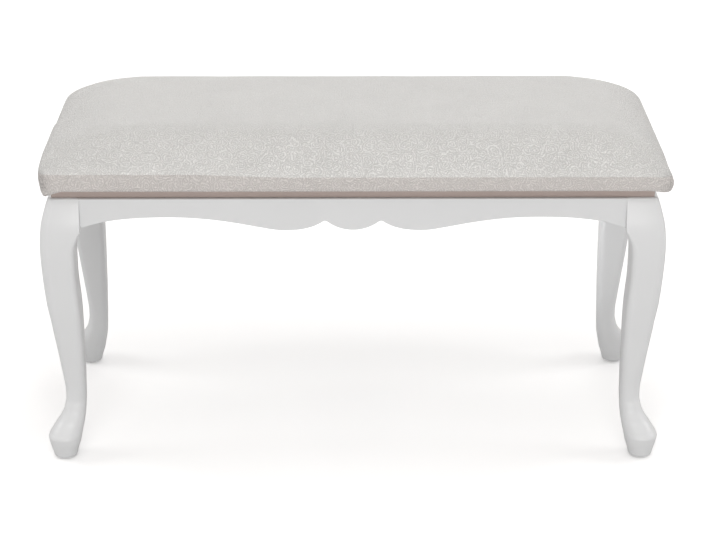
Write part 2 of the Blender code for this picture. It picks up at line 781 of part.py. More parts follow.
def main():
    """Build the whole bench."""
    clear_scene()
    lacquer = make_material("white_lacquer", (0.84, 0.85, 0.85), 0.28)
    beech = make_material("beech", (0.66, 0.49, 0.32), 0.6)
    steel = make_material("zinc_steel", (0.62, 0.62, 0.63), 0.35, 1.0)
    plastic = make_material("glide_plastic", (0.80, 0.80, 0.78), 0.45)
    fabric = make_material("seat_fabric", (0.70, 0.69, 0.67), 0.6)
    foam = make_material("foam", (0.83, 0.79, 0.62), 0.95)
    plywood = make_material("plywood", (0.68, 0.52, 0.34), 0.65)
    cloth = make_material("dust_cloth", (0.06, 0.06, 0.06), 0.9)
    build_corners(lacquer, beech, steel, plastic)
    build_aprons(lacquer, beech)
    build_risers(lacquer)
    build_seat(fabric, foam, plywood, cloth)


main()
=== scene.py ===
"""Finished look of an upholstered piano bench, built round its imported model.

Run as a script, it makes every visible piece of the bench with one operator per group of like
pieces: lacquered legs, aprons and risers, the padded seat with its damask cover, and the blocks,
glides, bolts and staples underneath.  All sizes are in metres, with +Z up and the front at -Y.
"""

import math

import bmesh
import bpy
from mathutils import Matrix, Vector, noise


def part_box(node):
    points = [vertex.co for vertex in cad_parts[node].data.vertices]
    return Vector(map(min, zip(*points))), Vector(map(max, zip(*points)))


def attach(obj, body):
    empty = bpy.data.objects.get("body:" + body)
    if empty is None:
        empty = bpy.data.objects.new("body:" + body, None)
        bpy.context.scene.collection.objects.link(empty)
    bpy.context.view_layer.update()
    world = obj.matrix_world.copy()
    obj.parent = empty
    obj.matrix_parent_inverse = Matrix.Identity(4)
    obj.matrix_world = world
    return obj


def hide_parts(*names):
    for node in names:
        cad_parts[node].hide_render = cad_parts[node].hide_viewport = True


bl_info = {
    "name": "Upholstered Piano Bench",
    "version": (1, 0, 0),
    "blender": (4, 5, 0),
    "location": "View3D > Sidebar > Bench",
    "description": "Builds the visible pieces of an upholstered piano bench with cabriole legs",
    "category": "Object",
}

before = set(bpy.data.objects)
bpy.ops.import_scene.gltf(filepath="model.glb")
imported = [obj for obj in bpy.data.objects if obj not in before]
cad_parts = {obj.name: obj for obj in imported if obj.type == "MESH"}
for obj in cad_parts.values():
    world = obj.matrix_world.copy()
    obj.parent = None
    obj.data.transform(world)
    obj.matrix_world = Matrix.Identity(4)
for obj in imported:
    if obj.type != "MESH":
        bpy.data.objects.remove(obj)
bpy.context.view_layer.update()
BODY = "root"

# Corners as (x sign, y sign, quarter turns), the way the legs' own corner is turned.
CORNERS = {
    "back_right": (1, 1, 0),
    "back_left": (-1, 1, 1),
    "front_left": (-1, -1, 2),
    "front_right": (1, -1, 3),
}
SIDES = {"front": 0, "right": 1, "back": 2, "left": 3}

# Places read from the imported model: the lowest and highest corners of a node.
APRON_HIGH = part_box("apron_back")[1]
SIDE_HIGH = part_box("apron_right")[1]
COVER_LOW, COVER_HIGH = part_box("seat_cover")
FOAM_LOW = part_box("foam_pad")[0]
CLOTH_LOW, CLOTH_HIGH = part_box("dust_cloth")
GLIDE_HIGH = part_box("foot_glide_back_right")[1]
FRAME_HEIGHT = APRON_HIGH.z
POST_FACE_X = SIDE_HIGH.x
POST_FACE_Y = APRON_HIGH.y
SEAT_HALF_X = COVER_HIGH.x
SEAT_HALF_Y = COVER_HIGH.y
HAIR = 1e-5  # points closer than this are one point


# ------------------------------------------------------------------ sizes and colours


def length(name, description, default):
    """A size in metres that a user may change."""
    return bpy.props.FloatProperty(
        name=name, description=description, default=default, min=0.0, unit="LENGTH"
    )


def color(name, description, default):
    """A colour that a user may change."""
    return bpy.props.FloatVectorProperty(
        name=name, description=description, default=default, size=3, subtype="COLOR", min=0.0, max=1.0
    )


class BenchWoodSettings(bpy.types.PropertyGroup):
    """Sizes and colours of the lacquered frame."""

    post_width: length("Post width", "Side of the square posts", 0.046)
    edge_rounding: length("Edge rounding", "Softening of the aprons' sawn edges", 0.0012)
    riser_rounding: length("Riser rounding", "Softening of the risers' edges", 0.0008)
    block_rounding: length("Block rounding", "Softening of the corner blocks' edges", 0.0010)
    lacquer: color("Lacquer", "White lacquer on legs and aprons", (0.757, 0.769, 0.777))
    # The riser's tone is far darker than the frame's lacquer, in part as painted shade from the seat's
    # overhang.
    riser: color("Riser lacquer", "Lacquer on the recessed strip", (0.52, 0.43, 0.395))
    leg_rows: bpy.props.IntProperty(
        name="Leg rows", description="Sections along each leg", default=150, min=20
    )
    corner_steps: bpy.props.IntProperty(
        name="Corner steps", description="Flats on each rounded corner of a leg", default=8, min=2
    )


class BenchSeatSettings(bpy.types.PropertyGroup):
    """Sizes and colours of the padded seat."""

    crown: length("Crown", "Rise of the seat above its upright band", 0.0560)
    end_shoulder: length("End shoulder", "Width over which the seat's ends rise", 0.1410)
    side_shoulder: length("Side shoulder", "Width over which the seat's sides rise", 0.0600)
    corner_radius: length("Corner radius", "Rounding of the seat's corners in plan", 0.0140)
    cover_thickness: length("Cover thickness", "Fabric and its wadding", 0.0012)
    flap: length("Flap", "Fabric turned in under the board", 0.0480)
    swell: length("Swell", "Furthest that the stuffing moves the stretched cover", 0.0016)
    motif: length("Motif", "Width of one scroll in the damask", 0.0150)
    scroll_pitch: length("Scroll pitch", "Spacing of the lines in a scroll", 0.0034)
    thread: color("Raised thread", "Silver thread of the scrolls", (0.725, 0.725, 0.712))
    ground: color("Ground weave", "Matt ground between the scrolls", (0.598, 0.595, 0.582))
    shift: length("Shift", "How far the cover was pulled to the right", 0.0013)


class BenchStageSettings(bpy.types.PropertyGroup):
    """Floor, lights and camera."""

    distance: length("Camera distance", "From the bench's middle, along the floor", 2.760)
    height: length("Camera height", "Above the floor", 1.432)
    pitch: bpy.props.FloatProperty(
        name="Camera pitch",
        description="Angle below level",
        default=math.radians(23.395),
        subtype="ANGLE",
    )
    bearing: bpy.props.FloatProperty(
        name="Camera bearing",
        description="Angle to the left of straight in front",
        default=math.radians(0.237),
        subtype="ANGLE",
    )
    lens: bpy.props.FloatProperty(
        name="Lens", description="Focal length in millimetres", default=98.63, min=1.0
    )
    sidestep: bpy.props.FloatProperty(
        name="Sidestep", description="Sideways shift as a share of the width", default=0.0048
    )
    floor: color("Floor", "Pale floor", (0.95, 0.95, 0.95))
    floor_bounce: bpy.props.FloatProperty(
        name="Floor bounce", description="Share of its light the floor sends up", default=0.72, min=0.0
    )
    floor_glow: bpy.props.FloatProperty(
        name="Floor glow", description="Lift of the floor's tone", default=0.25, min=0.0
    )
    sky: color("Surround", "Light that comes from all round", (1.0, 0.97, 0.95))
    sky_strength: bpy.props.FloatProperty(
        name="Surround strength", description="Brightness of the surround", default=0.54, min=0.0
    )


# ------------------------------------------------------------------ node trees


class Graph:
    """Short hand for wiring a node tree; values may be sockets or plain numbers."""

    def __init__(self, tree):
        self.tree = tree
        self.tree.nodes.clear()

    def feed(self, socket, value):
        """Link a socket, or set its value."""
        if isinstance(value, bpy.types.NodeSocket):
            self.tree.links.new(value, socket)
        else:
            socket.default_value = value

    def add(self, kind, inputs=None, **settings):
        """New node with its settings and inputs, named or numbered."""
        node = self.tree.nodes.new(kind)
        for name, value in settings.items():
            setattr(node, name, value)
        for key, value in (inputs or {}).items():
            self.feed(node.inputs[key], value)
        return node

    def math(self, operation, *values, clamp=False):
        """Result of a Math node."""
        inputs = dict(enumerate(values))
        return self.add("ShaderNodeMath", inputs, operation=operation, use_clamp=clamp).outputs[0]

    def vector(self, operation, *values):
        """Vector result of a Vector Math node."""
        return self.add("ShaderNodeVectorMath", dict(enumerate(values)), operation=operation).outputs[0]

    def scaled(self, vector, factor):
        """Vector times a number."""
        inputs = {0: vector, "Scale": factor}
        return self.add("ShaderNodeVectorMath", inputs, operation="SCALE").outputs[0]

    def mix(self, factor, first, second):
        """Blend of two colours."""
        inputs = {"Factor": factor, "A": first, "B": second}
        return self.add("ShaderNodeMix", inputs, data_type="RGBA").outputs["Result"]

    def ramp(self, value, low, high):
        """Smooth step of a value from 0 at low to 1 at high."""
        inputs = {"Value": value, "From Min": low, "From Max": high}
        return self.add("ShaderNodeMapRange", inputs, interpolation_type="SMOOTHSTEP").outputs["Result"]

    def noise(self, vector, scale, detail=2.0, roughness=0.5):
        """Noise value, from about 0.3 to 0.7."""
        inputs = {"Vector": vector, "Scale": scale, "Detail": detail, "Roughness": roughness}
        return self.add("ShaderNodeTexNoise", inputs).outputs["Fac"]


def new_group(name, kind, inputs, outputs):
    """Node group with named sockets; returns its graph, input node and output node."""
    tree = bpy.data.node_groups.new(name, kind)
    for direction, sockets in (("INPUT", inputs), ("OUTPUT", outputs)):
        for label, socket_type, default in sockets:
            socket = tree.interface.new_socket(label, in_out=direction, socket_type=socket_type)
            if default is not None:
                socket.default_value = default
    graph = Graph(tree)
    return graph, graph.add("NodeGroupInput"), graph.add("NodeGroupOutput")


FLOAT, VECTOR, COLOR = "NodeSocketFloat", "NodeSocketVector", "NodeSocketColor"


def sprayed_finish_group():
    """Sprayed lacquer: faint orange peel, cloudy gloss and a little toning of its colour."""
    graph, source, result = new_group(
        "sprayed_finish",
        "ShaderNodeTree",
        (
            ("Vector", VECTOR, None),
            ("Color", COLOR, (0.8, 0.8, 0.8, 1.0)),
            ("Gloss Low", FLOAT, 0.25),
            ("Gloss High", FLOAT, 0.40),
        ),
        (("Color", COLOR, None), ("Roughness", FLOAT, None), ("Height", FLOAT, None)),
    )
    place = source.outputs["Vector"]
    cloud = graph.ramp(graph.noise(place, 9.0, 3.0), 0.35, 0.65)
    peel = graph.noise(place, 420.0, 1.0)
    sag = graph.noise(place, 38.0, 2.0)
    shade = graph.math("MULTIPLY_ADD", cloud, 0.012, 0.99)
    toned = graph.scaled(source.outputs["Color"], shade)
    span = graph.math("SUBTRACT", source.outputs["Gloss High"], source.outputs["Gloss Low"])
    graph.feed(result.inputs["Color"], toned)
    graph.feed(
        result.inputs["Roughness"],
        graph.math("MULTIPLY_ADD", cloud, span, source.outputs["Gloss Low"]),
    )
    graph.feed(result.inputs["Height"], graph.math("MULTIPLY_ADD", sag, 4.0, peel))
    return graph.tree


def wood_grain_group():
    """Bare wood: long fibres, darker growth bands and pores."""
    graph, source, result = new_group(
        "wood_grain",
        "ShaderNodeTree",
        (
            ("Vector", VECTOR, None),
            ("Light", COLOR, (0.7, 0.55, 0.38, 1.0)),
            ("Dark", COLOR, (0.45, 0.30, 0.18, 1.0)),
            ("Bands", FLOAT, 60.0),
        ),
        (("Color", COLOR, None), ("Roughness", FLOAT, None), ("Height", FLOAT, None)),
    )
    stretch = graph.vector("MULTIPLY", source.outputs["Vector"], (0.12, 1.0, 1.0))
    bend = graph.scaled(stretch, source.outputs["Bands"])
    rings = graph.noise(bend, 1.0, 4.0, 0.6)
    pores = graph.noise(graph.scaled(stretch, 900.0), 1.0, 1.0)
    band = graph.ramp(rings, 0.38, 0.62)
    pore = graph.ramp(pores, 0.55, 0.75)
    blend = graph.math("MULTIPLY_ADD", pore, 0.35, graph.math("MULTIPLY", band, 0.6))
    wood = graph.mix(blend, source.outputs["Light"], source.outputs["Dark"])
    graph.feed(result.inputs["Color"], wood)
    graph.feed(result.inputs["Roughness"], graph.math("MULTIPLY_ADD", pore, 0.2, 0.55))
    graph.feed(result.inputs["Height"], graph.math("MULTIPLY_ADD", pore, -1.0, 1.0))
    return graph.tree


def plain_weave_group():
    """Over-and-under threads of a plain weave, on a flat map in metres."""
    graph, source, result = new_group(
        "plain_weave",
        "ShaderNodeTree",
        (("Vector", VECTOR, None), ("Threads", FLOAT, 1800.0)),
        (("Height", FLOAT, None), ("Gap", FLOAT, None)),
    )
    turns = graph.scaled(source.outputs["Vector"], graph.math("MULTIPLY", source.outputs["Threads"], math.pi))
    parts = graph.add("ShaderNodeSeparateXYZ", {0: turns})
    across = graph.math("SINE", parts.outputs["X"])
    along = graph.math("SINE", parts.outputs["Y"])
    height = graph.math("MULTIPLY", across, along)
    graph.feed(result.inputs["Height"], graph.math("ABSOLUTE", height))
    graph.feed(result.inputs["Gap"], graph.ramp(graph.math("ABSOLUTE", height), 0.22, 0.0))
    return graph.tree


def scroll_damask_group():
    """Damask of curled scrolls: every motif is one spiral that meets its neighbours' lines."""
    graph, source, result = new_group(
        "scroll_damask",
        "ShaderNodeTree",
        (("Vector", VECTOR, None), ("Motif", FLOAT, 0.015), ("Pitch", FLOAT, 0.0034)),
        (("Line", FLOAT, None), ("Height", FLOAT, None)),
    )
    place = source.outputs["Vector"]
    sway_node = graph.add("ShaderNodeTexNoise", {"Vector": place, "Scale": 130.0, "Detail": 4.0})
    sway = graph.scaled(graph.vector("SUBTRACT", sway_node.outputs["Color"], (0.5, 0.5, 0.5)), 0.0115)
    wavy = graph.vector("ADD", place, sway)
    flat = graph.vector("MULTIPLY", wavy, (1.0, 1.0, 0.0))
    density = graph.math("DIVIDE", 1.0, source.outputs["Motif"])
    cells = {"Vector": flat, "Scale": density, "Randomness": 0.85}
    motifs = graph.add("ShaderNodeTexVoronoi", cells, voronoi_dimensions="2D")
    offset = graph.vector("SUBTRACT", flat, motifs.outputs["Position"])
    parts = graph.add("ShaderNodeSeparateXYZ", {0: offset})
    reach = graph.add("ShaderNodeVectorMath", {0: offset}, operation="LENGTH").outputs["Value"]
    angle = graph.math("ARCTAN2", parts.outputs["Y"], parts.outputs["X"])
    tints = graph.add("ShaderNodeSeparateColor", {0: motifs.outputs["Color"]})
    hand = graph.math("SIGN", graph.math("SUBTRACT", tints.outputs[0], 0.5))
    start = graph.math("MULTIPLY", tints.outputs[1], 2 * math.pi)
    turns = graph.math("MULTIPLY", graph.math("DIVIDE", reach, source.outputs["Pitch"]), 2 * math.pi)
    phase = graph.math("ADD", graph.math("MULTIPLY_ADD", angle, hand, turns), start)
    wave = graph.math("SINE", phase)
    graph.feed(result.inputs["Line"], graph.ramp(wave, -0.25, 0.45))
    graph.feed(result.inputs["Height"], graph.math("MULTIPLY_ADD", wave, 0.5, 0.5))
    return graph.tree


def shared_group(name):
    """A shader group, built the first time it is asked for."""
    makers = {
        "sprayed_finish": sprayed_finish_group,
        "wood_grain": wood_grain_group,
        "plain_weave": plain_weave_group,
        "scroll_damask": scroll_damask_group,
    }
    return bpy.data.node_groups.get(name) or makers[name]()


# ------------------------------------------------------------------ materials


def start_material(name, **values):
    """Material with a Principled shader whose plain values are set on its own sockets."""
    material = bpy.data.materials.new(name)
    material.use_nodes = True
    graph = Graph(material.node_tree)
    shader = graph.add("ShaderNodeBsdfPrincipled")
    for socket, value in values.items():
        shader.inputs[socket.replace("_", " ")].default_value = value
    output = graph.add("ShaderNodeOutputMaterial")
    graph.feed(output.inputs["Surface"], shader.outputs["BSDF"])
    return material, graph, shader


def place_group(graph, name, inputs):
    """One of the shared groups inside a material."""
    return graph.add("ShaderNodeGroup", inputs, node_tree=shared_group(name))


def add_bump(graph, shader, height, distance, strength=1.0):
    """Small relief from a height value."""
    bump = graph.add("ShaderNodeBump", {"Height": height, "Distance": distance, "Strength": strength})
    graph.feed(shader.inputs["Normal"], bump.outputs["Normal"])


def object_place(graph):
    """Object coordinates."""
    return graph.add("ShaderNodeTexCoord").outputs["Object"]


def lacquer_material(name, paint, gloss_low, gloss_high, coat):
    """Satin lacquer over wood."""
    material, graph, shader = start_material(
        name, Specular_IOR_Level=0.5, Coat_Weight=coat, Coat_Roughness=0.18
    )
    finish = place_group(
        graph,
        "sprayed_finish",
        {
            "Vector": object_place(graph),
            "Color": (*paint, 1.0),
            "Gloss Low": gloss_low,
            "Gloss High": gloss_high,
        },
    )
    graph.feed(shader.inputs["Base Color"], finish.outputs["Color"])
    graph.feed(shader.inputs["Roughness"], finish.outputs["Roughness"])
    add_bump(graph, shader, finish.outputs["Height"], 0.00001, 0.2)
    return material


def wood_material(name, light, dark, bands, turn=(0.0, 0.0, 0.0)):
    """Bare wood with its grain along X, or turned from it by three angles."""
    material, graph, shader = start_material(name, Specular_IOR_Level=0.35)
    mapping = graph.add("ShaderNodeMapping", {"Vector": object_place(graph), "Rotation": turn})
    grain = place_group(
        graph,
        "wood_grain",
        {
            "Vector": mapping.outputs["Vector"],
            "Light": (*light, 1.0),
            "Dark": (*dark, 1.0),
            "Bands": bands,
        },
    )
    graph.feed(shader.inputs["Base Color"], grain.outputs["Color"])
    graph.feed(shader.inputs["Roughness"], grain.outputs["Roughness"])
    add_bump(graph, shader, grain.outputs["Height"], 0.0001, 0.5)
    return material


# Tones of the seat's cloth, and how far in from the crease each of them runs.  They paint light and shade:
# shade on the band, a highlight just above the crease, glints on the thread, and scrolls that show stronger
# on the slopes than on the flat top.
BAND_PAINTED_SHADE = (0.975, 0.935, 0.925)
CREASE_HIGHLIGHT_TONE = (0.86, 0.86, 0.84, 1.0)
CREASE_HIGHLIGHT_SHARE = 0.16
CREASE_HIGHLIGHT_REACH = (-0.020, -0.002)
FLANK_REACH = (-0.105, -0.050)
GLINT_TONE = (0.90, 0.89, 0.87, 1.0)
WEAVE_THREADS = 1500.0

# Painted shade in the corners' folds, broken into dark specks: where each fold sits, how far the shade
# spreads from it, and how dark it is at the right end and how much darker at the left.
FOLD_INSET = 0.003
FOLD_DROP = 0.008
FOLD_SHADE_SPREAD = (0.021, 0.008)
FOLD_SHADE_DEPTH = -0.17
FOLD_SHADE_DEPTH_LEFT = -0.10


def fabric_material(seat):
    """Silver damask: raised satin scrolls on a matt ground, with threads in both."""
    material, graph, shader = start_material(
        "silver_damask", Specular_IOR_Level=0.6, Sheen_Weight=0.15, Sheen_Roughness=0.4
    )
    cloth = graph.add("ShaderNodeUVMap", uv_map="cloth").outputs["UV"]
    scrolls = place_group(
        graph,
        "scroll_damask",
        {"Vector": cloth, "Motif": seat.motif, "Pitch": seat.scroll_pitch},
    )
    weave = place_group(graph, "plain_weave", {"Vector": cloth, "Threads": WEAVE_THREADS})
    reach_x, reach_y = (lines[-1] for lines in cloth_lines(seat)[2:])
    spread = graph.add("ShaderNodeSeparateXYZ", {0: graph.vector("ABSOLUTE", cloth)})
    over_end = graph.math("SUBTRACT", spread.outputs["X"], reach_x)
    over_side = graph.math("SUBTRACT", spread.outputs["Y"], reach_y)
    past = graph.math("MAXIMUM", over_end, over_side)
    band = graph.ramp(past, -0.0004, 0.0004)
    flank = graph.ramp(past, *FLANK_REACH)
    crease_highlight = graph.ramp(past, *CREASE_HIGHLIGHT_REACH)
    # The scrolls' contrast is painted weaker on the flat top and stronger towards the crease, for how the
    # light shows them.
    lit_contrast = graph.math("MULTIPLY_ADD", flank, 0.95, 0.35)
    worn = graph.ramp(graph.noise(cloth, 240.0, 2.0), 0.36, 0.56)
    sharp = graph.math("MULTIPLY_ADD", worn, 0.45, 0.55)
    contrast = graph.math("MULTIPLY", lit_contrast, sharp)
    away = graph.math("SUBTRACT", scrolls.outputs["Line"], 0.5)
    line = graph.math("MULTIPLY_ADD", away, contrast, 0.5)
    drawn_out = graph.vector("MULTIPLY", cloth, (60.0, 900.0, 1.0))
    slubs = graph.ramp(graph.noise(drawn_out, 1.0, 1.0), 0.4, 0.7)
    patches = graph.ramp(graph.noise(cloth, 14.0, 2.0), 0.3, 0.7)
    # Painted glints: small light flecks on the thread, mostly on the slopes.
    glint_flecks = graph.ramp(graph.noise(cloth, 620.0, 1.0), 0.54, 0.68)
    glint = graph.math("MULTIPLY", glint_flecks, lit_contrast)
    silver = graph.mix(glint, (*seat.thread, 1.0), GLINT_TONE)
    base = graph.mix(line, (*seat.ground, 1.0), silver)
    # A painted highlight on the cloth just above the crease.
    base = graph.mix(graph.math("MULTIPLY", crease_highlight, CREASE_HIGHLIGHT_SHARE), base, CREASE_HIGHLIGHT_TONE)
    # The band below the crease is painted darker and warmer: painted shade.
    shaded = graph.vector("MULTIPLY", base, BAND_PAINTED_SHADE)
    base = graph.mix(band, base, shaded)
    tone = graph.math("MULTIPLY_ADD", slubs, 0.05, graph.math("MULTIPLY_ADD", patches, 0.03, 0.94))
    # Painted shade in the corners' folds, broken into specks.
    fold = (SEAT_HALF_X - FOLD_INSET, SEAT_HALF_Y - FOLD_INSET, EDGE_ROLL - FOLD_DROP)
    place = object_place(graph)
    mirrored = graph.vector("ABSOLUTE", place)
    away_node = graph.add("ShaderNodeVectorMath", {0: mirrored, 1: fold}, operation="DISTANCE")
    folded = graph.ramp(away_node.outputs["Value"], *FOLD_SHADE_SPREAD)
    side = graph.add("ShaderNodeSeparateXYZ", {0: place}).outputs["X"]
    leftward = graph.ramp(side, 0.1, -0.1)
    depth = graph.math("MULTIPLY_ADD", leftward, FOLD_SHADE_DEPTH_LEFT, FOLD_SHADE_DEPTH)
    shade_specks = graph.ramp(graph.noise(place, 330.0, 3.0, 0.7), 0.47, 0.55)
    shadow = graph.math("MULTIPLY", graph.math("MULTIPLY", folded, shade_specks), depth)
    tone = graph.math("ADD", tone, shadow)
    # The gaps between threads are made 10% darker, as painted shade.
    toned = graph.scaled(base, graph.math("MULTIPLY_ADD", weave.outputs["Gap"], -0.10, tone))
    graph.feed(shader.inputs["Base Color"], toned)
    graph.feed(shader.inputs["Roughness"], graph.math("MULTIPLY_ADD", line, -0.34, 0.70))
    graph.feed(shader.inputs["Metallic"], graph.math("MULTIPLY", line, 0.35))
    relief = graph.math("MULTIPLY_ADD", weave.outputs["Height"], 0.18, scrolls.outputs["Height"])
    add_bump(graph, shader, relief, 0.00045, 0.9)
    return material


def dust_cloth_material():
    """Thin black non-woven cloth with its small pressed dots."""
    material, graph, shader = start_material("dust_cloth_black", Specular_IOR_Level=0.3)
    place = object_place(graph)
    weave = place_group(graph, "plain_weave", {"Vector": place, "Threads": 700.0})
    fibres = graph.ramp(graph.noise(place, 900.0, 2.0), 0.35, 0.7)
    shade = graph.mix(fibres, (0.018, 0.018, 0.020, 1.0), (0.055, 0.055, 0.058, 1.0))
    graph.feed(shader.inputs["Base Color"], shade)
    graph.feed(shader.inputs["Roughness"], graph.math("MULTIPLY_ADD", fibres, 0.15, 0.8))
    height = graph.math("MULTIPLY_ADD", weave.outputs["Height"], 0.8, fibres)
    add_bump(graph, shader, height, 0.00015, 0.7)
    return material


def steel_material(name, thread_pitch=0.0):
    """Zinc-plated steel, with screw threads along the corner's diagonal where asked."""
    material, graph, shader = start_material(name, Metallic=1.0)
    place = object_place(graph)
    cloud = graph.ramp(graph.noise(place, 160.0, 3.0), 0.35, 0.65)
    graph.feed(
        shader.inputs["Base Color"],
        graph.mix(cloud, (0.50, 0.51, 0.53, 1.0), (0.66, 0.66, 0.64, 1.0)),
    )
    graph.feed(shader.inputs["Roughness"], graph.math("MULTIPLY_ADD", cloud, 0.18, 0.26))
    height = cloud
    distance = 0.00004
    if thread_pitch:
        parts = graph.add("ShaderNodeSeparateXYZ", {0: place})
        flat_x = graph.math("ABSOLUTE", parts.outputs["X"])
        flat_y = graph.math("ABSOLUTE", parts.outputs["Y"])
        along = graph.math("MULTIPLY", graph.math("ADD", flat_x, flat_y), math.sqrt(0.5))
        turns = graph.math("MULTIPLY", along, 2 * math.pi / thread_pitch)
        height = graph.math("SINE", turns)
        distance = 0.0002
    add_bump(graph, shader, height, distance, 0.8)
    return material


def foam_material():
    """Cream polyurethane foam with open cells."""
    material, graph, shader = start_material("seat_foam", Specular_IOR_Level=0.2)
    place = object_place(graph)
    cells = graph.add("ShaderNodeTexVoronoi", {"Vector": place, "Scale": 700.0}).outputs["Distance"]
    shade = graph.mix(cells, (0.60, 0.54, 0.36, 1.0), (0.84, 0.80, 0.62, 1.0))
    graph.feed(shader.inputs["Base Color"], shade)
    graph.feed(shader.inputs["Roughness"], graph.math("MULTIPLY_ADD", cells, 0.1, 0.88))
    add_bump(graph, shader, cells, 0.0006, 0.8)
    return material


# ------------------------------------------------------------------ making pieces


def mesh_piece(name, mesh, material, replaced=()):
    """Put a finished mesh in the scene as a piece that goes with the bench."""
    mesh.materials.clear()
    mesh.materials.append(material)
    piece = bpy.data.objects.new(name, mesh)
    bpy.context.collection.objects.link(piece)
    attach(piece, BODY)
    if replaced:
        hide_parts(*replaced)
    return piece


def plain_mesh(name, maker):
    """Evaluated mesh of a working object, which is then removed with its modifiers."""
    maker_mesh = maker.data
    evaluated = maker.evaluated_get(bpy.context.evaluated_depsgraph_get())
    mesh = bpy.data.meshes.new_from_object(evaluated)
    mesh.name = name
    bpy.data.objects.remove(maker)
    if maker_mesh.users == 0:
        bpy.data.meshes.remove(maker_mesh)
    return mesh


def working_object(name, mesh):
    """Object that only lives while a piece is being made."""
    maker = bpy.data.objects.new(name + "_making", mesh)
    bpy.context.collection.objects.link(maker)
    return maker


def smooth(mesh, degrees=35.0):
    """Round shading, kept crisp at edges sharper than an angle."""
    mesh.shade_smooth()
    mesh.set_sharp_from_angle(angle=math.radians(degrees))


def mesh_from(name, bm):
    """Mesh from a bmesh, with its faces turned outwards."""
    bmesh.ops.recalc_face_normals(bm, faces=bm.faces)
    mesh = bpy.data.meshes.new(name)
    bm.to_mesh(mesh)
    bm.free()
    return mesh


def volume_of(mesh):
    """Signed volume; it is negative when the faces point inwards."""
    bm = bmesh.new()
    bm.from_mesh(mesh)
    volume = bm.calc_volume(signed=True)
    bm.free()
    return volume


def rounded(name, mesh, width, segments=3, degrees=30.0):
    """A mesh with its sharp edges softened."""
    maker = working_object(name, mesh)
    bevel = maker.modifiers.new("soft_edges", "BEVEL")
    bevel.width = width
    bevel.segments = segments
    bevel.limit_method = "ANGLE"
    bevel.angle_limit = math.radians(degrees)
    result = plain_mesh(name, maker)
    smooth(result, 50.0)
    return result


def node_copy(node):
    """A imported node's mesh with its loose triangles joined into whole faces."""
    bm = bmesh.new()
    bm.from_mesh(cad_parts[node].data)
    bmesh.ops.remove_doubles(bm, verts=bm.verts, dist=HAIR)
    bmesh.ops.dissolve_limit(bm, angle_limit=math.radians(0.5), verts=bm.verts, edges=bm.edges)
    mesh = bpy.data.meshes.new(node + "_copy")
    bm.to_mesh(mesh)
    bm.free()
    return mesh


def repaint(node, material):
    """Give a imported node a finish, leaving its shape alone."""
    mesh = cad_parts[node].data
    mesh.materials.clear()
    mesh.materials.append(material)


def bezier(start, first, second, end, steps):
    """Points along a cubic curve, without its first point."""
    points = []
    for i in range(1, steps + 1):
        t = i / steps
        weights = ((1 - t) ** 3, 3 * t * (1 - t) ** 2, 3 * t * t * (1 - t), t**3)
        corners = (start, first, second, end)
        points.append(tuple(sum(w * p[k] for w, p in zip(weights, corners)) for k in (0, 1)))
    return points


# ------------------------------------------------------------------ legs

# Stations along a leg: (height, reach past the post's outer face, set-back from its inner face,
# outer, seam and inner corner radii).  The last group is measured down from the frame's top.
LEG_FOOT = (
    (GLIDE_HIGH.z - 0.0117, 0.0118, 0.0257, 0.0150, 0.0150, 0.0150),
    (GLIDE_HIGH.z - 0.0105, 0.0131, 0.0244, 0.0160, 0.0160, 0.0160),
    (0.0180, 0.0165, 0.0207, 0.0190, 0.0190, 0.0180),
    (0.0330, 0.0198, 0.0167, 0.0228, 0.0228, 0.0200),
    (0.0347, 0.0200, 0.0163, 0.0230, 0.0230, 0.0200),
    (0.0362, 0.0197, 0.0161, 0.0228, 0.0228, 0.0198),
    (0.0420, 0.0165, 0.0148, 0.0210, 0.0210, 0.0185),
    (0.0500, 0.0110, 0.0131, 0.0185, 0.0185, 0.0165),
    (0.0620, 0.0023, 0.0111, 0.0155, 0.0155, 0.0142),
    (0.0800, -0.0049, 0.0093, 0.0136, 0.0136, 0.0126),
    (0.0985, -0.0074, 0.0083, 0.0130, 0.0130, 0.0120),
    (0.1240, -0.0056, 0.0077, 0.0129, 0.0121, 0.0112),
    (0.1500, -0.0028, 0.0073, 0.0128, 0.0112, 0.0102),
    (0.2200, 0.0054, 0.0072, 0.0124, 0.0096, 0.0080),
)
LEG_KNEE = (
    (0.1160, 0.0126, 0.0104, 0.0121, 0.0084, 0.0066),
    (0.0810, 0.0136, 0.0100, 0.0120, 0.0080, 0.0060),
    (0.0650, 0.0131, 0.0066, 0.0117, 0.0062, 0.0057),
    (0.0530, 0.0122, 0.0024, 0.0112, 0.0036, 0.0054),
    (0.0445, 0.0112, 0.0, 0.0108, 0.0009, 0.0050),
    (0.0260, 0.0073, 0.0, 0.0100, 0.0006, 0.0050),
    (0.0075, 0.0020, 0.0, 0.0096, 0.0005, 0.0050),
    (0.0012, -0.0006, 0.0, 0.0090, 0.0005, 0.0050),
    (0.0, -0.0018, 0.0, 0.0080, 0.0005, 0.0045),
)


def leg_stations():
    """All stations from the floor up."""
    return list(LEG_FOOT) + [(FRAME_HEIGHT - station[0], *station[1:]) for station in LEG_KNEE]


def station_curve(graph, along, values):
    """Float Curve node through one value per station, evenly spaced along the leg's parameter."""
    node = graph.add("ShaderNodeFloatCurve")
    low, high = min(values), max(values)
    span = max(high - low, 1e-6)
    curve = node.mapping.curves[0]
    node.mapping.use_clip = False
    last = len(values) - 1
    for i, value in enumerate(values):
        spot = (i / last, (value - low) / span)
        if i == 0:
            curve.points[0].location = spot
        elif i == last:
            curve.points[len(curve.points) - 1].location = spot
        else:
            curve.points.new(*spot)
    for point in curve.points:
        point.handle_type = "AUTO_CLAMPED"
    node.mapping.update()
    graph.feed(node.inputs["Value"], along)
    return graph.math("MULTIPLY_ADD", node.outputs["Value"], span, low)


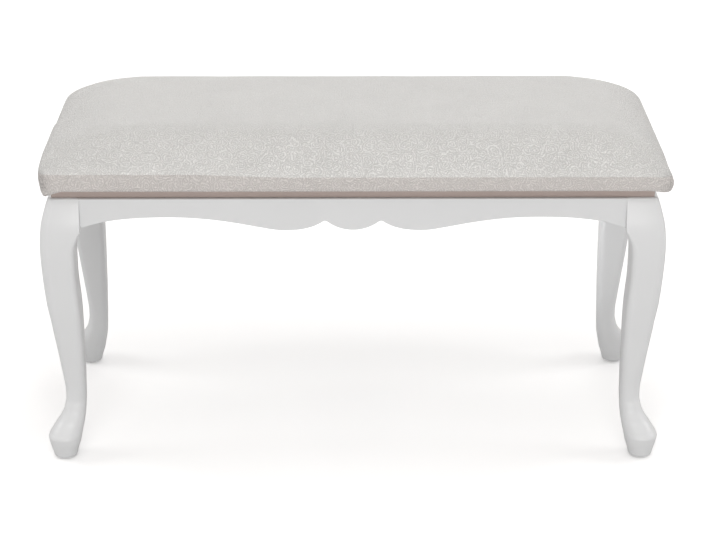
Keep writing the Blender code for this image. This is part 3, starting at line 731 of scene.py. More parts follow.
def leg_tree(rows, steps):
    """Geometry nodes that wrap a grid round a cabriole leg and turn it into its corner.

    Each grid row is one section: a square whose four corners have their own radii.  The first
    and last rows close on the section's middle, and the seam column is merged.
    """
    inputs = (
        ("Post Width", FLOAT, 0.046),
        ("Post X", FLOAT, 0.0),
        ("Post Y", FLOAT, 0.0),
        ("Quarter Turn", FLOAT, 0.0),
        ("Material", "NodeSocketMaterial", None),
    )
    outputs = (("Geometry", "NodeSocketGeometry", None),)
    graph, source, result = new_group("cabriole_leg", "GeometryNodeTree", inputs, outputs)
    ring = 4 * (steps + 1)
    grid = graph.add("GeometryNodeMeshGrid", {"Vertices X": rows, "Vertices Y": ring + 1})
    index = graph.add("GeometryNodeInputIndex").outputs["Index"]
    row = graph.math("FLOOR", graph.math("DIVIDE", graph.math("ADD", index, 0.5), ring + 1))
    column = graph.math("SUBTRACT", index, graph.math("MULTIPLY", row, ring + 1))
    column = graph.math("MODULO", column, ring)
    inside = graph.math("SUBTRACT", 1.0, graph.math("COMPARE", row, 0.0, 0.1))
    inside = graph.math("SUBTRACT", inside, graph.math("COMPARE", row, rows - 1, 0.1))
    along = graph.math("DIVIDE", graph.math("SUBTRACT", row, 1.0), rows - 3, clamp=True)
    stations = leg_stations()
    height, reach, back, outer_radius, seam_radius, inner_radius = (
        station_curve(graph, along, [station[k] for station in stations]) for k in range(6)
    )
    quarter = graph.math("FLOOR", graph.math("DIVIDE", graph.math("ADD", column, 0.5), steps + 1))
    step = graph.math("SUBTRACT", column, graph.math("MULTIPLY", quarter, steps + 1))
    turned = graph.math("ADD", quarter, graph.math("DIVIDE", step, steps))
    angle = graph.math("MULTIPLY", turned, math.pi / 2)
    facing = graph.math("MULTIPLY", graph.math("ADD", quarter, 0.5), math.pi / 2)
    is_outer = graph.math("COMPARE", quarter, 0.0, 0.1)
    is_inner = graph.math("COMPARE", quarter, 2.0, 0.1)
    radius = seam_radius
    for chosen, own_radius in ((is_outer, outer_radius), (is_inner, inner_radius)):
        change = graph.math("SUBTRACT", own_radius, seam_radius)
        radius = graph.math("MULTIPLY_ADD", chosen, change, radius)
    half_post = graph.math("MULTIPLY", source.outputs["Post Width"], 0.5)
    outer = graph.math("ADD", half_post, reach)
    inner = graph.math("SUBTRACT", back, half_post)
    middle = graph.math("MULTIPLY", graph.math("ADD", outer, inner), 0.5)
    half = graph.math("MULTIPLY", graph.math("SUBTRACT", outer, inner), 0.5)
    flat = graph.math("SUBTRACT", half, radius)
    spot = []
    for wave in ("COSINE", "SINE"):
        side = graph.math("SIGN", graph.math(wave, facing))
        arc = graph.math("MULTIPLY", radius, graph.math(wave, angle))
        out = graph.math("MULTIPLY", graph.math("MULTIPLY_ADD", side, flat, arc), inside)
        spot.append(graph.math("ADD", middle, out))
    position = graph.add("ShaderNodeCombineXYZ", {0: spot[0], 1: spot[1], 2: height})
    wrapped = graph.add(
        "GeometryNodeSetPosition",
        {"Geometry": grid.outputs["Mesh"], "Position": position.outputs["Vector"]},
    )
    closed = graph.add(
        "GeometryNodeMergeByDistance", {"Geometry": wrapped.outputs["Geometry"], "Distance": HAIR}
    )
    turn = graph.math("MULTIPLY", source.outputs["Quarter Turn"], math.pi / 2)
    spin = graph.add("ShaderNodeCombineXYZ", {2: turn})
    shift = graph.add(
        "ShaderNodeCombineXYZ", {0: source.outputs["Post X"], 1: source.outputs["Post Y"]}
    )
    placed = graph.add(
        "GeometryNodeTransform",
        {
            "Geometry": closed.outputs["Geometry"],
            "Translation": shift.outputs["Vector"],
            "Rotation": spin.outputs["Vector"],
        },
    )
    finish_tree(graph, source, result, placed.outputs["Geometry"])
    return graph.tree


def finish_tree(graph, source, result, geometry):
    """Realize whatever is instanced, set the material and hand the geometry out."""
    real = graph.add("GeometryNodeRealizeInstances", {"Geometry": geometry})
    coated = graph.add(
        "GeometryNodeSetMaterial",
        {"Geometry": real.outputs["Geometry"], "Material": source.outputs["Material"]},
    )
    graph.feed(result.inputs["Geometry"], coated.outputs["Geometry"])


def grown_mesh(name, tree, values):
    """Plain mesh of a node tree run with these named inputs."""
    maker = working_object(name, bpy.data.meshes.new(name + "_seed"))
    modifier = maker.modifiers.new("grow", "NODES")
    modifier.node_group = tree
    for item in tree.interface.items_tree:
        if item.item_type == "SOCKET" and item.in_out == "INPUT" and item.name in values:
            modifier[item.identifier] = values[item.name]
    mesh = plain_mesh(name, maker)
    if volume_of(mesh) < 0:
        mesh.flip_normals()
    return mesh


class BENCH_OT_legs(bpy.types.Operator):
    """Make the four cabriole legs"""

    bl_idname = "bench.legs"
    bl_label = "Legs"

    def execute(self, context):
        wood = context.scene.bench_wood
        material = lacquer_material(
            "white_lacquer_legs", wood.lacquer, gloss_low=0.28, gloss_high=0.33, coat=0.10
        )
        tree = leg_tree(wood.leg_rows, wood.corner_steps)
        for corner, (side_x, side_y, quarter) in CORNERS.items():
            values = {
                "Post Width": wood.post_width,
                "Post X": side_x * (POST_FACE_X - wood.post_width / 2),
                "Post Y": side_y * (POST_FACE_Y - wood.post_width / 2),
                "Quarter Turn": float(quarter),
                "Material": material,
            }
            mesh = grown_mesh("cabriole_leg_" + corner, tree, values)
            smooth(mesh, 48.0)
            mesh_piece("cabriole_leg_" + corner, mesh, material, ("leg_" + corner,))
        return {"FINISHED"}


# ------------------------------------------------------------------ aprons

WIDE_FACE = 0.002  # faces of an apron larger than this, in square metres, are shaded flat
CLOSE_FIT = 0.0002  # how far each end of an apron closes up to its leg
SAWN_SLOPE = -0.35  # faces whose normal points down further than this are sawn edge
UNDERSIDE_SHADE_SHARE = 0.62  # painted shade on the downward faces, as a share of the lacquer's tone

# Depths below the frame's top and places along the apron's half length.
END_DEPTH = 0.0445
ARCH_DEPTH = 0.0277
LOBE_DEPTH = 0.0480
CUSP_DEPTH = 0.0320
CENTRE_LOBE_DEPTH = 0.0474
SIDE_ARCH_DEPTH = 0.0300
CUSP_X = 0.0400
LOBE_X = 0.0985
ARCH_PLACE = 0.57


def long_apron_edge(half):
    """Lower edge of the front or back apron from its middle to its end, as (x, depth).

    Each curve's two handles are set by shares of its length and of its change of depth.
    """
    rise = CENTRE_LOBE_DEPTH - CUSP_DEPTH
    radius = (CUSP_X**2 + rise**2) / (2 * rise)
    steps = 14
    edge = []
    for i in range(steps + 1):
        x = CUSP_X * i / steps
        edge.append((x, CENTRE_LOBE_DEPTH - radius + math.sqrt(radius**2 - x**2)))
    cusp, lobe = (CUSP_X, CUSP_DEPTH), (LOBE_X, LOBE_DEPTH)
    arch = (LOBE_X + ARCH_PLACE * (half - LOBE_X), ARCH_DEPTH)
    end = (half, END_DEPTH)
    reach = LOBE_X - CUSP_X
    first = (CUSP_X + 0.25 * reach, 0.72 * LOBE_DEPTH + 0.28 * CUSP_DEPTH)
    edge += bezier(cusp, first, (LOBE_X - 0.45 * reach, LOBE_DEPTH), lobe, 18)
    reach = arch[0] - LOBE_X
    edge += bezier(lobe, (LOBE_X + 0.18 * reach, LOBE_DEPTH), (arch[0] - 0.51 * reach, ARCH_DEPTH), arch, 26)
    reach = half - arch[0]
    last = (half - 0.25 * reach, 0.69 * ARCH_DEPTH + 0.31 * END_DEPTH)
    edge += bezier(arch, (arch[0] + 0.47 * reach, ARCH_DEPTH), last, end, 20)
    return edge


def side_apron_edge(half):
    """Lower edge of a side apron: one shallow arch."""
    last = (0.8 * half, 0.6 * SIDE_ARCH_DEPTH + 0.4 * END_DEPTH)
    return [(0.0, SIDE_ARCH_DEPTH)] + bezier(
        (0.0, SIDE_ARCH_DEPTH), (0.5 * half, SIDE_ARCH_DEPTH), last, (half, END_DEPTH), 24
    )


def apron_mesh(name, edge, thickness, quarter, face, rounding):
    """Sawn board with a shaped lower edge, turned to its side of the bench."""
    half = edge[-1][0]
    right = [(x, -depth) for x, depth in edge]
    left = [(-x, z) for x, z in reversed(right[1:])]
    outline = left + right + [(half, 0.0), (-half, 0.0)]
    bm = bmesh.new()
    loops = [[bm.verts.new((x, y, z)) for x, z in outline] for y in (0.0, thickness)]
    count = len(outline)
    for i in range(count):
        j = (i + 1) % count
        bm.faces.new((loops[0][i], loops[0][j], loops[1][j], loops[1][i]))
    for loop in loops:
        bm.faces.new(loop)
    soft = []
    for loop in loops:
        for i in range(count):
            first, second = loop[i], loop[(i + 1) % count]
            if abs(first.co.x - second.co.x) > HAIR:
                soft.append(bm.edges.get((first, second)))
    bmesh.ops.bevel(
        bm, geom=soft, offset=rounding, segments=3, profile=0.5, affect="EDGES", clamp_overlap=True
    )
    turn = Matrix.Rotation(quarter * math.pi / 2, 4, "Z")
    bm.transform(turn @ Matrix.Translation((0.0, -face, FRAME_HEIGHT)))
    mesh = mesh_from(name, bm)
    smooth(mesh, 40.0)
    # Downward faces take the second material, whose darker tone is painted shade.
    for flat in mesh.polygons:
        flat.use_smooth = flat.area < WIDE_FACE
        flat.material_index = int(flat.normal.z < SAWN_SLOPE)
    return mesh


class BENCH_OT_aprons(bpy.types.Operator):
    """Make the four aprons with their sawn lower edges"""

    bl_idname = "bench.aprons"
    bl_label = "Aprons"

    def execute(self, context):
        wood = context.scene.bench_wood
        material = lacquer_material(
            "white_lacquer_aprons", wood.lacquer, gloss_low=0.31, gloss_high=0.36, coat=0.12
        )
        # Painted shade for the aprons' downward faces.
        shade_tone = tuple(channel * UNDERSIDE_SHADE_SHARE for channel in wood.lacquer)
        sawn = lacquer_material(
            "white_lacquer_underside_shade", shade_tone, gloss_low=0.45, gloss_high=0.55, coat=0.0
        )
        for side, quarter in SIDES.items():
            low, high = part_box("apron_" + side)
            size = high - low
            if side in ("front", "back"):
                edge, thickness, face = long_apron_edge(size.x / 2 + CLOSE_FIT), size.y, POST_FACE_Y
            else:
                edge, thickness, face = side_apron_edge(size.y / 2 + CLOSE_FIT), size.x, POST_FACE_X
            name = side + "_apron"
            mesh = apron_mesh(name, edge, thickness, quarter, face, wood.edge_rounding)
            piece = mesh_piece(name, mesh, material, ("apron_" + side,))
            piece.data.materials.append(sawn)
        return {"FINISHED"}


class BENCH_OT_risers(bpy.types.Operator):
    """Make the strips that lift the seat off the frame"""

    bl_idname = "bench.risers"
    bl_label = "Risers"

    def execute(self, context):
        wood = context.scene.bench_wood
        # The riser's darker tone is in part painted shade from the seat's overhang.
        material = lacquer_material("riser_lacquer", wood.riser, gloss_low=0.38, gloss_high=0.52, coat=0.0)
        for side in SIDES:
            name = side + "_riser"
            mesh = rounded(name, node_copy("riser_" + side), wood.riser_rounding)
            mesh_piece(name, mesh, material, ("riser_" + side,))
        return {"FINISHED"}


# ------------------------------------------------------------------ seat


def spread_lines(half, cells, gather):
    """Grid lines across the seat, gathered towards both edges."""
    lines = []
    for i in range(cells + 1):
        s = 2 * i / cells - 1
        lines.append(half * (s + gather * math.sin(math.pi * s) / math.pi))
    return lines


def shoulder(distance, width, rounding):
    """Share of the full rise at a distance in from an edge."""
    t = min(max(distance / width, 0.0), 1.0)
    return (1 - (1 - t) ** rounding) ** (1 / rounding)


def round_corner(x, y, half_x, half_y, radius):
    """Pull a grid point near a square corner on to a rounded one."""
    a = (abs(x) - (half_x - radius)) / radius
    b = (abs(y) - (half_y - radius)) / radius
    if a <= 0 or b <= 0:
        return x, y
    new_x = half_x - radius + radius * a * math.sqrt(1 - b * b / 2)
    new_y = half_y - radius + radius * b * math.sqrt(1 - a * a / 2)
    return math.copysign(new_x, x), math.copysign(new_y, y)


SEAT_CELLS = (128, 54)
SEAT_GATHER = 0.70
END_ROUNDING = 2.1
SIDE_STEEPNESS = 1.7
BAND_ROWS = 6
HEM_ROWS = 3
FLAP_ROWS = 3
EDGE_ROLL = FOAM_LOW.z + 0.0038  # height of the crease along the top of the band
UNDERSIDE = COVER_LOW.z
HEM_RADIUS = 0.0022


def dome_height(x, y, seat):
    """Height of the seat's top over a point."""
    ends = shoulder(SEAT_HALF_X - abs(x), seat.end_shoulder, END_ROUNDING)
    inward = min((SEAT_HALF_Y - abs(y)) / seat.side_shoulder, 1.0)
    sides = 1 - (1 - inward) ** SIDE_STEEPNESS
    return EDGE_ROLL + seat.crown * ends * sides


def arc_lengths(lines, height_at):
    """Distance along the cloth from the middle to each grid line."""
    heights = [height_at(value) for value in lines]
    total = [0.0]
    for i in range(1, len(lines)):
        total.append(total[-1] + math.hypot(lines[i] - lines[i - 1], heights[i] - heights[i - 1]))
    middle = total[-1] / 2
    return [value - middle for value in total]


def cloth_lines(seat):
    """Grid lines along and across the seat, and the same lines' places on the flat cloth."""
    lines_x = spread_lines(SEAT_HALF_X, SEAT_CELLS[0], SEAT_GATHER)
    lines_y = spread_lines(SEAT_HALF_Y, SEAT_CELLS[1], SEAT_GATHER)
    cloth_x = arc_lengths(lines_x, lambda x: dome_height(x, 0.0, seat))
    cloth_y = arc_lengths(lines_y, lambda y: dome_height(0.0, y, seat))
    return lines_x, lines_y, cloth_x, cloth_y


def seat_rim(count_x, count_y):
    """Grid places round the outside of the seat, in order."""
    rim = [(i, 0) for i in range(count_x)]
    rim += [(count_x - 1, j) for j in range(1, count_y)]
    rim += [(i, count_y - 1) for i in range(count_x - 2, -1, -1)]
    rim += [(0, j) for j in range(count_y - 2, 0, -1)]
    return rim


def band_profile():
    """(inset, height) of each loop from the crease down the band and in under the board."""
    profile = []
    straight = UNDERSIDE + HEM_RADIUS
    for i in range(1, BAND_ROWS + 1):
        profile.append((0.0, EDGE_ROLL + (straight - EDGE_ROLL) * i / BAND_ROWS))
    for i in range(1, HEM_ROWS + 1):
        angle = i / HEM_ROWS * math.pi / 2
        profile.append((HEM_RADIUS * (1 - math.cos(angle)), straight - HEM_RADIUS * math.sin(angle)))
    return profile


def seat_mesh(seat):
    """Closed cover: domed top, upright band, hem and flap, with the cloth's own flat map.

    Returns the mesh and the numbers of its points from the crease down.
    """
    lines_x, lines_y, cloth_x, cloth_y = cloth_lines(seat)
    bm = bmesh.new()
    crease = bm.edges.layers.float.new("crease_edge")
    cloth = bm.loops.layers.uv.new("cloth")
    flat = {}
    grid = {}
    for j, y in enumerate(lines_y):
        for i, x in enumerate(lines_x):
            spot = round_corner(x, y, SEAT_HALF_X, SEAT_HALF_Y, seat.corner_radius)
            vert = bm.verts.new((*spot, dome_height(x, y, seat)))
            grid[i, j] = vert
            flat[vert] = (cloth_x[i], cloth_y[j], 0.0)
    for j in range(len(lines_y) - 1):
        for i in range(len(lines_x) - 1):
            bm.faces.new((grid[i, j], grid[i + 1, j], grid[i + 1, j + 1], grid[i, j + 1]))
    rim = seat_rim(len(lines_x), len(lines_y))
    loop = [grid[spot] for spot in rim]
    for i, vert in enumerate(loop):
        edge = bm.edges.get((vert, loop[(i + 1) % len(loop)]))
        edge[crease] = 1.0
        edge.smooth = False
    held = list(loop)
    drop, before = 0.0, (0.0, EDGE_ROLL)
    outward = [rim_direction(vert.co, seat) for vert in loop]
    corners = [vert.co.copy() for vert in loop]
    profile = band_profile()
    for i in range(1, FLAP_ROWS + 1):
        profile.append((HEM_RADIUS + (seat.flap - HEM_RADIUS) * i / FLAP_ROWS, UNDERSIDE))
    for inset, height in profile:
        drop += math.hypot(inset - before[0], height - before[1])
        before = (inset, height)
        ring = []
        for corner, way, (i, j) in zip(corners, outward, rim):
            shrink = inset_point(corner, way, inset, seat)
            vert = bm.verts.new((*shrink, height))
            flat[vert] = (cloth_x[i], cloth_y[j], drop)
            ring.append(vert)
        for k in range(len(ring)):
            n = (k + 1) % len(ring)
            bm.faces.new((loop[k], loop[n], ring[n], ring[k]))
        loop = ring
        held += ring
    for face in bm.faces:
        middle = face.calc_center_median()
        endwise = SEAT_HALF_X - abs(middle.x) < SEAT_HALF_Y - abs(middle.y)
        for corner in face.loops:
            u, v, fall = flat[corner.vert]
            if endwise:
                u += math.copysign(fall, u)
            else:
                v += math.copysign(fall, v)
            corner[cloth].uv = (u, v)
    bm.faces.new(list(reversed(loop)))
    bm.verts.index_update()
    held_index = [vert.index for vert in held]
    return mesh_from("seat_cover_making", bm), held_index


def rim_direction(point, seat):
    """Outward direction in plan at a point on the seat's rounded outline."""
    inner_x = SEAT_HALF_X - seat.corner_radius
    inner_y = SEAT_HALF_Y - seat.corner_radius
    out = Vector((max(abs(point.x) - inner_x, 0.0), max(abs(point.y) - inner_y, 0.0)))
    if out.x > 0 and out.y > 0:
        out = Vector((math.copysign(out.x, point.x), math.copysign(out.y, point.y)))
    elif SEAT_HALF_X - abs(point.x) < SEAT_HALF_Y - abs(point.y):
        out = Vector((math.copysign(1.0, point.x), 0.0))
    else:
        out = Vector((0.0, math.copysign(1.0, point.y)))
    return out.normalized()


def inset_point(point, way, inset, seat):
    """Point of the outline moved inwards; deep insets follow a smaller rectangle."""
    if inset <= seat.corner_radius:
        return point.x - way.x * inset, point.y - way.y * inset
    scale_x = (SEAT_HALF_X - inset) / SEAT_HALF_X
    scale_y = (SEAT_HALF_Y - inset) / SEAT_HALF_Y
    return point.x * scale_x, point.y * scale_y


# The short cloth simulation that stretches the cover over its stuffing.
STRETCH_FRAMES = 20
STRETCH = {
    "quality": 5,
    "mass": 0.25,
    "tension_stiffness": 14,
    "compression_stiffness": 14,
    "shear_stiffness": 6,
    "bending_stiffness": 1.0,
    "use_pressure": True,
    "uniform_pressure_force": 3.5,
    "vertex_group_mass": "held",
}
STRETCH_FADE = (0.004, 0.050)  # distances in from the outline over which the stretch comes in


def inflate(maker, held, cap):
    """Stretch the cover over its stuffing with a short cloth simulation.

    The band, hem and flap are held.  No point moves further than the cap.
    """
    scene = bpy.context.scene
    group = maker.vertex_groups.new(name="held")
    group.add(held, 1.0, "REPLACE")
    start = [vert.co.copy() for vert in maker.data.vertices]
    cloth = maker.modifiers.new("stretch", "CLOTH")
    for name, value in STRETCH.items():
        setattr(cloth.settings, name, value)
    cloth.settings.effector_weights.gravity = 0.0
    cloth.collision_settings.use_collision = False
    cloth.point_cache.frame_start = 1
    cloth.point_cache.frame_end = STRETCH_FRAMES
    for number in range(1, STRETCH_FRAMES + 1):
        scene.frame_set(number)
    evaluated = maker.evaluated_get(bpy.context.evaluated_depsgraph_get())
    moved = [vert.co.copy() for vert in evaluated.data.vertices]
    scene.frame_set(1)
    maker.modifiers.remove(cloth)
    for vert, old, new in zip(maker.data.vertices, start, moved):
        step = new - old
        if step.length > cap:
            step *= cap / step.length
        inward = min(SEAT_HALF_X - abs(old.x), SEAT_HALF_Y - abs(old.y))
        vert.co = old + step * smooth_step(inward, *STRETCH_FADE)


def settle_top(mesh, seat):
    """Bring the stretched top to its proper crown."""
    top = max(vert.co.z for vert in mesh.vertices)
    share = seat.crown / (top - EDGE_ROLL)
    for vert in mesh.vertices:
        if vert.co.z > EDGE_ROLL + HAIR:
            vert.co.z = EDGE_ROLL + (vert.co.z - EDGE_ROLL) * share


def bump_curve(distance, width):
    """Rounded hump: 1 at no distance, 0 past the width."""
    t = min(abs(distance) / width, 1.0)
    return (1 - t * t) ** 2


# How each corner of the cover was folded: how far it was pulled out at the crease, bulge halfway
# down the band, taper of the hem, droop of the hem, depth of its pleats and their spacing.
CORNER_FOLDS = {
    (-1, -1): (-0.0022, 0.0000, -0.0044, 0.0100, 0.0015, 0.0046),
    (1, -1): (0.0018, 0.0036, 0.0020, 0.0010, 0.0010, 0.0052),
    (-1, 1): (0.0006, 0.0010, 0.0000, 0.0022, 0.0010, 0.0060),
    (1, 1): (0.0006, 0.0010, 0.0000, 0.0028, 0.0011, 0.0056),
}
CREASE_LIFT = 0.0045  # how much higher the front crease runs at its left end

# How far from a corner's middle each part of its fold reaches.  The gathers on top reach out all
# ways, and the others run along the rim.
FOLD_REACH = 0.034
BULGE_REACH = 0.026
PLEAT_REACH = 0.0165
GATHER_REACH = 0.055
# How far in from the outline each change reaches.
FOLD_DEPTH = 0.040  # the folds and the fine creases on top
LIFT_DEPTH = 0.030  # the lifted crease
CORE_DEPTH = 0.020  # the drawn-in foam and board
RIPPLE = 0.0005  # unevenness of the stretched top
SLACK_SWING = 0.0003  # unevenness of the band
SLACK_HEM = 0.0002  # unevenness of the hem


def rim_place(point, seat):
    """Distance in from the seat's outline, and distance along it from the nearest corner's middle.

    The second is positive along the front or back and negative along an end.
    """
    radius = seat.corner_radius
    past_x = abs(point.x) - (SEAT_HALF_X - radius)
    past_y = abs(point.y) - (SEAT_HALF_Y - radius)
    quarter = radius * math.pi / 4
    if past_x > 0 and past_y > 0:
        return radius - math.hypot(past_x, past_y), radius * (math.atan2(past_y, past_x) - math.pi / 4)
    if past_x > past_y:
        return radius - past_x, past_y - quarter
    return radius - past_y, quarter - past_x


def shape_folds(mesh, seat):
    """Hand-folded corners, gathers near them and the slight slack of stretched cloth."""
    for vert in mesh.vertices:
        point = vert.co
        side_x = int(math.copysign(1, point.x))
        side_y = int(math.copysign(1, point.y))
        pull, bulge, taper, droop, pleat, spacing = CORNER_FOLDS[side_x, side_y]
        inward, along = rim_place(point, seat)
        out = rim_direction(point, seat)
        ripple = noise.noise(Vector((point.x * 22, point.y * 22, point.z * 30)))
        fine = noise.noise(Vector((point.x * 150, point.y * 150, point.z * 200 + 9.0)))
        raised = CREASE_LIFT * smooth_step(-point.x, 0.08, 0.25) if side_y < 0 else 0.0
        if point.z > EDGE_ROLL - HAIR:
            corner = math.hypot(inward, along)
            near = bump_curve(inward, FOLD_DEPTH)
            rise = min((point.z - EDGE_ROLL) / 0.006, 1.0)
            point.z += rise * (RIPPLE * ripple * (1 - near) + RIPPLE * fine * near)
            gather = math.sin(along / spacing * 3.2 + 2.5 * ripple)
            point.z += 0.8 * rise * bump_curve(corner, GATHER_REACH) * pleat * gather
            point.z += raised * bump_curve(inward, LIFT_DEPTH)
            push = pull * bump_curve(along, FOLD_REACH) * near
            point.x += out.x * push
            point.y += out.y * push
        elif inward < HEM_RADIUS + 0.0004:
            depth = min((EDGE_ROLL - point.z) / (EDGE_ROLL - UNDERSIDE), 1.0)
            swing = math.sin(depth * math.pi)
            slack = bump_curve(along, FOLD_REACH)
            push = slack * pull + SLACK_SWING * swing * (1 + ripple)
            push += bump_curve(along, BULGE_REACH) * (bulge * swing + taper * depth**3)
            tuck = bump_curve(along, PLEAT_REACH) * smooth_step(depth, 0.02, 0.30)
            turns = 2 * math.pi * (along + 0.0016 * math.sin(depth * 5.0)) / spacing
            push += tuck * pleat * (0.8 * math.sin(turns) + 1.2 * fine)
            point.x += out.x * push
            point.y += out.y * push
            point.z += raised * (1 - depth) - droop * slack * depth * depth
            point.z -= SLACK_HEM * ripple * depth
        point.x += seat.shift


def draw_in(mesh, seat, all_round, at_corners):
    """Move the outer points of something inside the cover inwards."""
    for vert in mesh.vertices:
        inward, along = rim_place(vert.co, seat)
        out = rim_direction(vert.co, seat)
        amount = all_round + at_corners * bump_curve(along, FOLD_REACH)
        amount *= bump_curve(max(inward, 0.0), CORE_DEPTH)
        vert.co.x -= out.x * amount
        vert.co.y -= out.y * amount


def smooth_step(value, low, high):
    """0 below low, 1 above high, smooth between."""
    t = min(max((value - low) / (high - low), 0.0), 1.0)
    return t * t * (3 - 2 * t)


def open_underside(mesh):
    """Drop the face that closes the cover under the board."""
    bm = bmesh.new()
    bm.from_mesh(mesh)
    wide = [face for face in bm.faces if len(face.verts) > 4]
    bmesh.ops.delete(bm, geom=wide, context="FACES_ONLY")
    bm.to_mesh(mesh)
    bm.free()


class BENCH_OT_seat_cover(bpy.types.Operator):
    """Make the padded seat's damask cover with its band and folded corners"""

    bl_idname = "bench.seat_cover"
    bl_label = "Seat cover"

    def execute(self, context):
        seat = context.scene.bench_seat
        mesh, held = seat_mesh(seat)
        maker = working_object("seat_cover", mesh)
        inflate(maker, held, seat.swell)
        settle_top(mesh, seat)
        shape_folds(mesh, seat)
        open_underside(mesh)
        thick = maker.modifiers.new("thickness", "SOLIDIFY")
        thick.thickness = seat.cover_thickness
        thick.offset = -1.0
        thick.use_even_offset = True
        finer = maker.modifiers.new("finer", "SUBSURF")
        finer.levels = 1
        finer.render_levels = 1
        finer.use_creases = True
        result = plain_mesh("damask_seat_cover", maker)
        result.shade_smooth()
        material = fabric_material(seat)
        piece = mesh_piece("damask_seat_cover", result, material, ("seat_cover",))
        return {"FINISHED"}


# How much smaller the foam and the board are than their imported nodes: all round and at corners.
FOAM_INSET = (0.0025, 0.0060)
BOARD_INSET = (0.0020, 0.0060)
FOAM_RISE = 0.84  # the foam's crown as a share of its node's
FOAM_LENGTH = 0.985
FOAM_WIDTH = 0.955


class BENCH_OT_seat_core(bpy.types.Operator):
    """Make the foam pad and finish the board inside the cover"""

    bl_idname = "bench.seat_core"
    bl_label = "Foam and board"

    def execute(self, context):
        seat = context.scene.bench_seat
        mesh = node_copy("foam_pad")
        draw_in(mesh, seat, *FOAM_INSET)
        for vert in mesh.vertices:
            if vert.co.z > EDGE_ROLL:
                vert.co.z = EDGE_ROLL + (vert.co.z - EDGE_ROLL) * FOAM_RISE
                vert.co.x *= FOAM_LENGTH
                vert.co.y *= FOAM_WIDTH
        mesh.shade_smooth()
        foam = foam_material()
        piece = mesh_piece("foam_core", mesh, foam, ("foam_pad",))
        mesh = node_copy("seat_board")
        draw_in(mesh, seat, *BOARD_INSET)
        ply = wood_material("birch_ply", (0.66, 0.52, 0.36), (0.44, 0.31, 0.19), 90.0)
        mesh_piece("birch_seat_board", mesh, ply, ("seat_board",))
        return {"FINISHED"}


# ------------------------------------------------------------------ underside


def staple_tree():
    """Geometry nodes that set staples along a rectangle, each laid along its side."""
    inputs = (
        ("Half Length", FLOAT, 0.4),
        ("Half Width", FLOAT, 0.14),
        ("Height", FLOAT, 0.43),
        ("Spacing", FLOAT, 0.045),
        ("Crown", FLOAT, 0.010),
        ("Wire", FLOAT, 0.0010),
        ("Seed", "NodeSocketInt", 3),
        ("Material", "NodeSocketMaterial", None),
    )
    outputs = (("Geometry", "NodeSocketGeometry", None),)
    graph, source, result = new_group("cloth_staples", "GeometryNodeTree", inputs, outputs)
    size_x = graph.math("MULTIPLY", source.outputs["Half Length"], 2.0)
    size_y = graph.math("MULTIPLY", source.outputs["Half Width"], 2.0)
    path = graph.add("GeometryNodeCurvePrimitiveQuadrilateral", {"Width": size_x, "Height": size_y})
    points = graph.add(
        "GeometryNodeResampleCurve",
        {"Curve": path.outputs["Curve"], "Length": source.outputs["Spacing"]},
        mode="LENGTH",
    )
    wire = source.outputs["Wire"]
    bar_size = graph.add("ShaderNodeCombineXYZ", {0: source.outputs["Crown"], 1: wire, 2: wire})
    bar = graph.add("GeometryNodeMeshCube", {"Size": bar_size.outputs["Vector"], "Vertices X": 6})
    place = graph.add("GeometryNodeInputPosition").outputs["Position"]
    parts = graph.add("ShaderNodeSeparateXYZ", {0: place})
    share = graph.math("DIVIDE", graph.math("ABSOLUTE", parts.outputs["X"]), source.outputs["Crown"])
    sink = graph.math("MULTIPLY", graph.math("POWER", graph.math("MULTIPLY", share, 2.0), 6.0), wire)
    bend = graph.add("ShaderNodeCombineXYZ", {2: sink})
    bent = graph.add(
        "GeometryNodeSetPosition",
        {"Geometry": bar.outputs["Mesh"], "Offset": bend.outputs["Vector"]},
    )
    tangent = graph.add("GeometryNodeInputTangent").outputs["Tangent"]
    turn = graph.add("FunctionNodeAlignRotationToVector", {"Vector": tangent}, axis="X", pivot_axis="Z")
    skew = graph.add(
        "FunctionNodeRandomValue",
        {"Min": (0.0, 0.0, -0.22), "Max": (0.0, 0.0, 0.22), "Seed": source.outputs["Seed"]},
        data_type="FLOAT_VECTOR",
    )
    euler = graph.add("FunctionNodeEulerToRotation", {0: skew.outputs[0]})
    tilt = graph.add(
        "FunctionNodeRotateRotation",
        {0: turn.outputs[0], 1: euler.outputs[0]},
        rotation_space="LOCAL",
    )
    spread = graph.add(
        "GeometryNodeInstanceOnPoints",
        {
            "Points": points.outputs["Curve"],
            "Instance": bent.outputs["Geometry"],
            "Rotation": tilt.outputs[0],
        },
    )
    lift = graph.add("ShaderNodeCombineXYZ", {2: source.outputs["Height"]})
    raised = graph.add(
        "GeometryNodeTransform",
        {"Geometry": spread.outputs["Instances"], "Translation": lift.outputs["Vector"]},
    )
    finish_tree(graph, source, result, raised.outputs["Geometry"])
    return graph.tree


DUST_COLUMNS = 84
DUST_ROWS = 30
DUST_THICKNESS = 0.0004
DUST_GAP = 0.0002  # how far the cloth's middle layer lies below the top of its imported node
DUST_SAG = 0.0022  # how far its middle hangs down
DUST_RUCK = 0.0006  # how much its sag varies
STAPLE_MARGIN = 0.007  # from the cloth's edge to the row of staples
STAPLE_DROP = 0.0012  # from the top of the cloth's node down to the middle of a staple


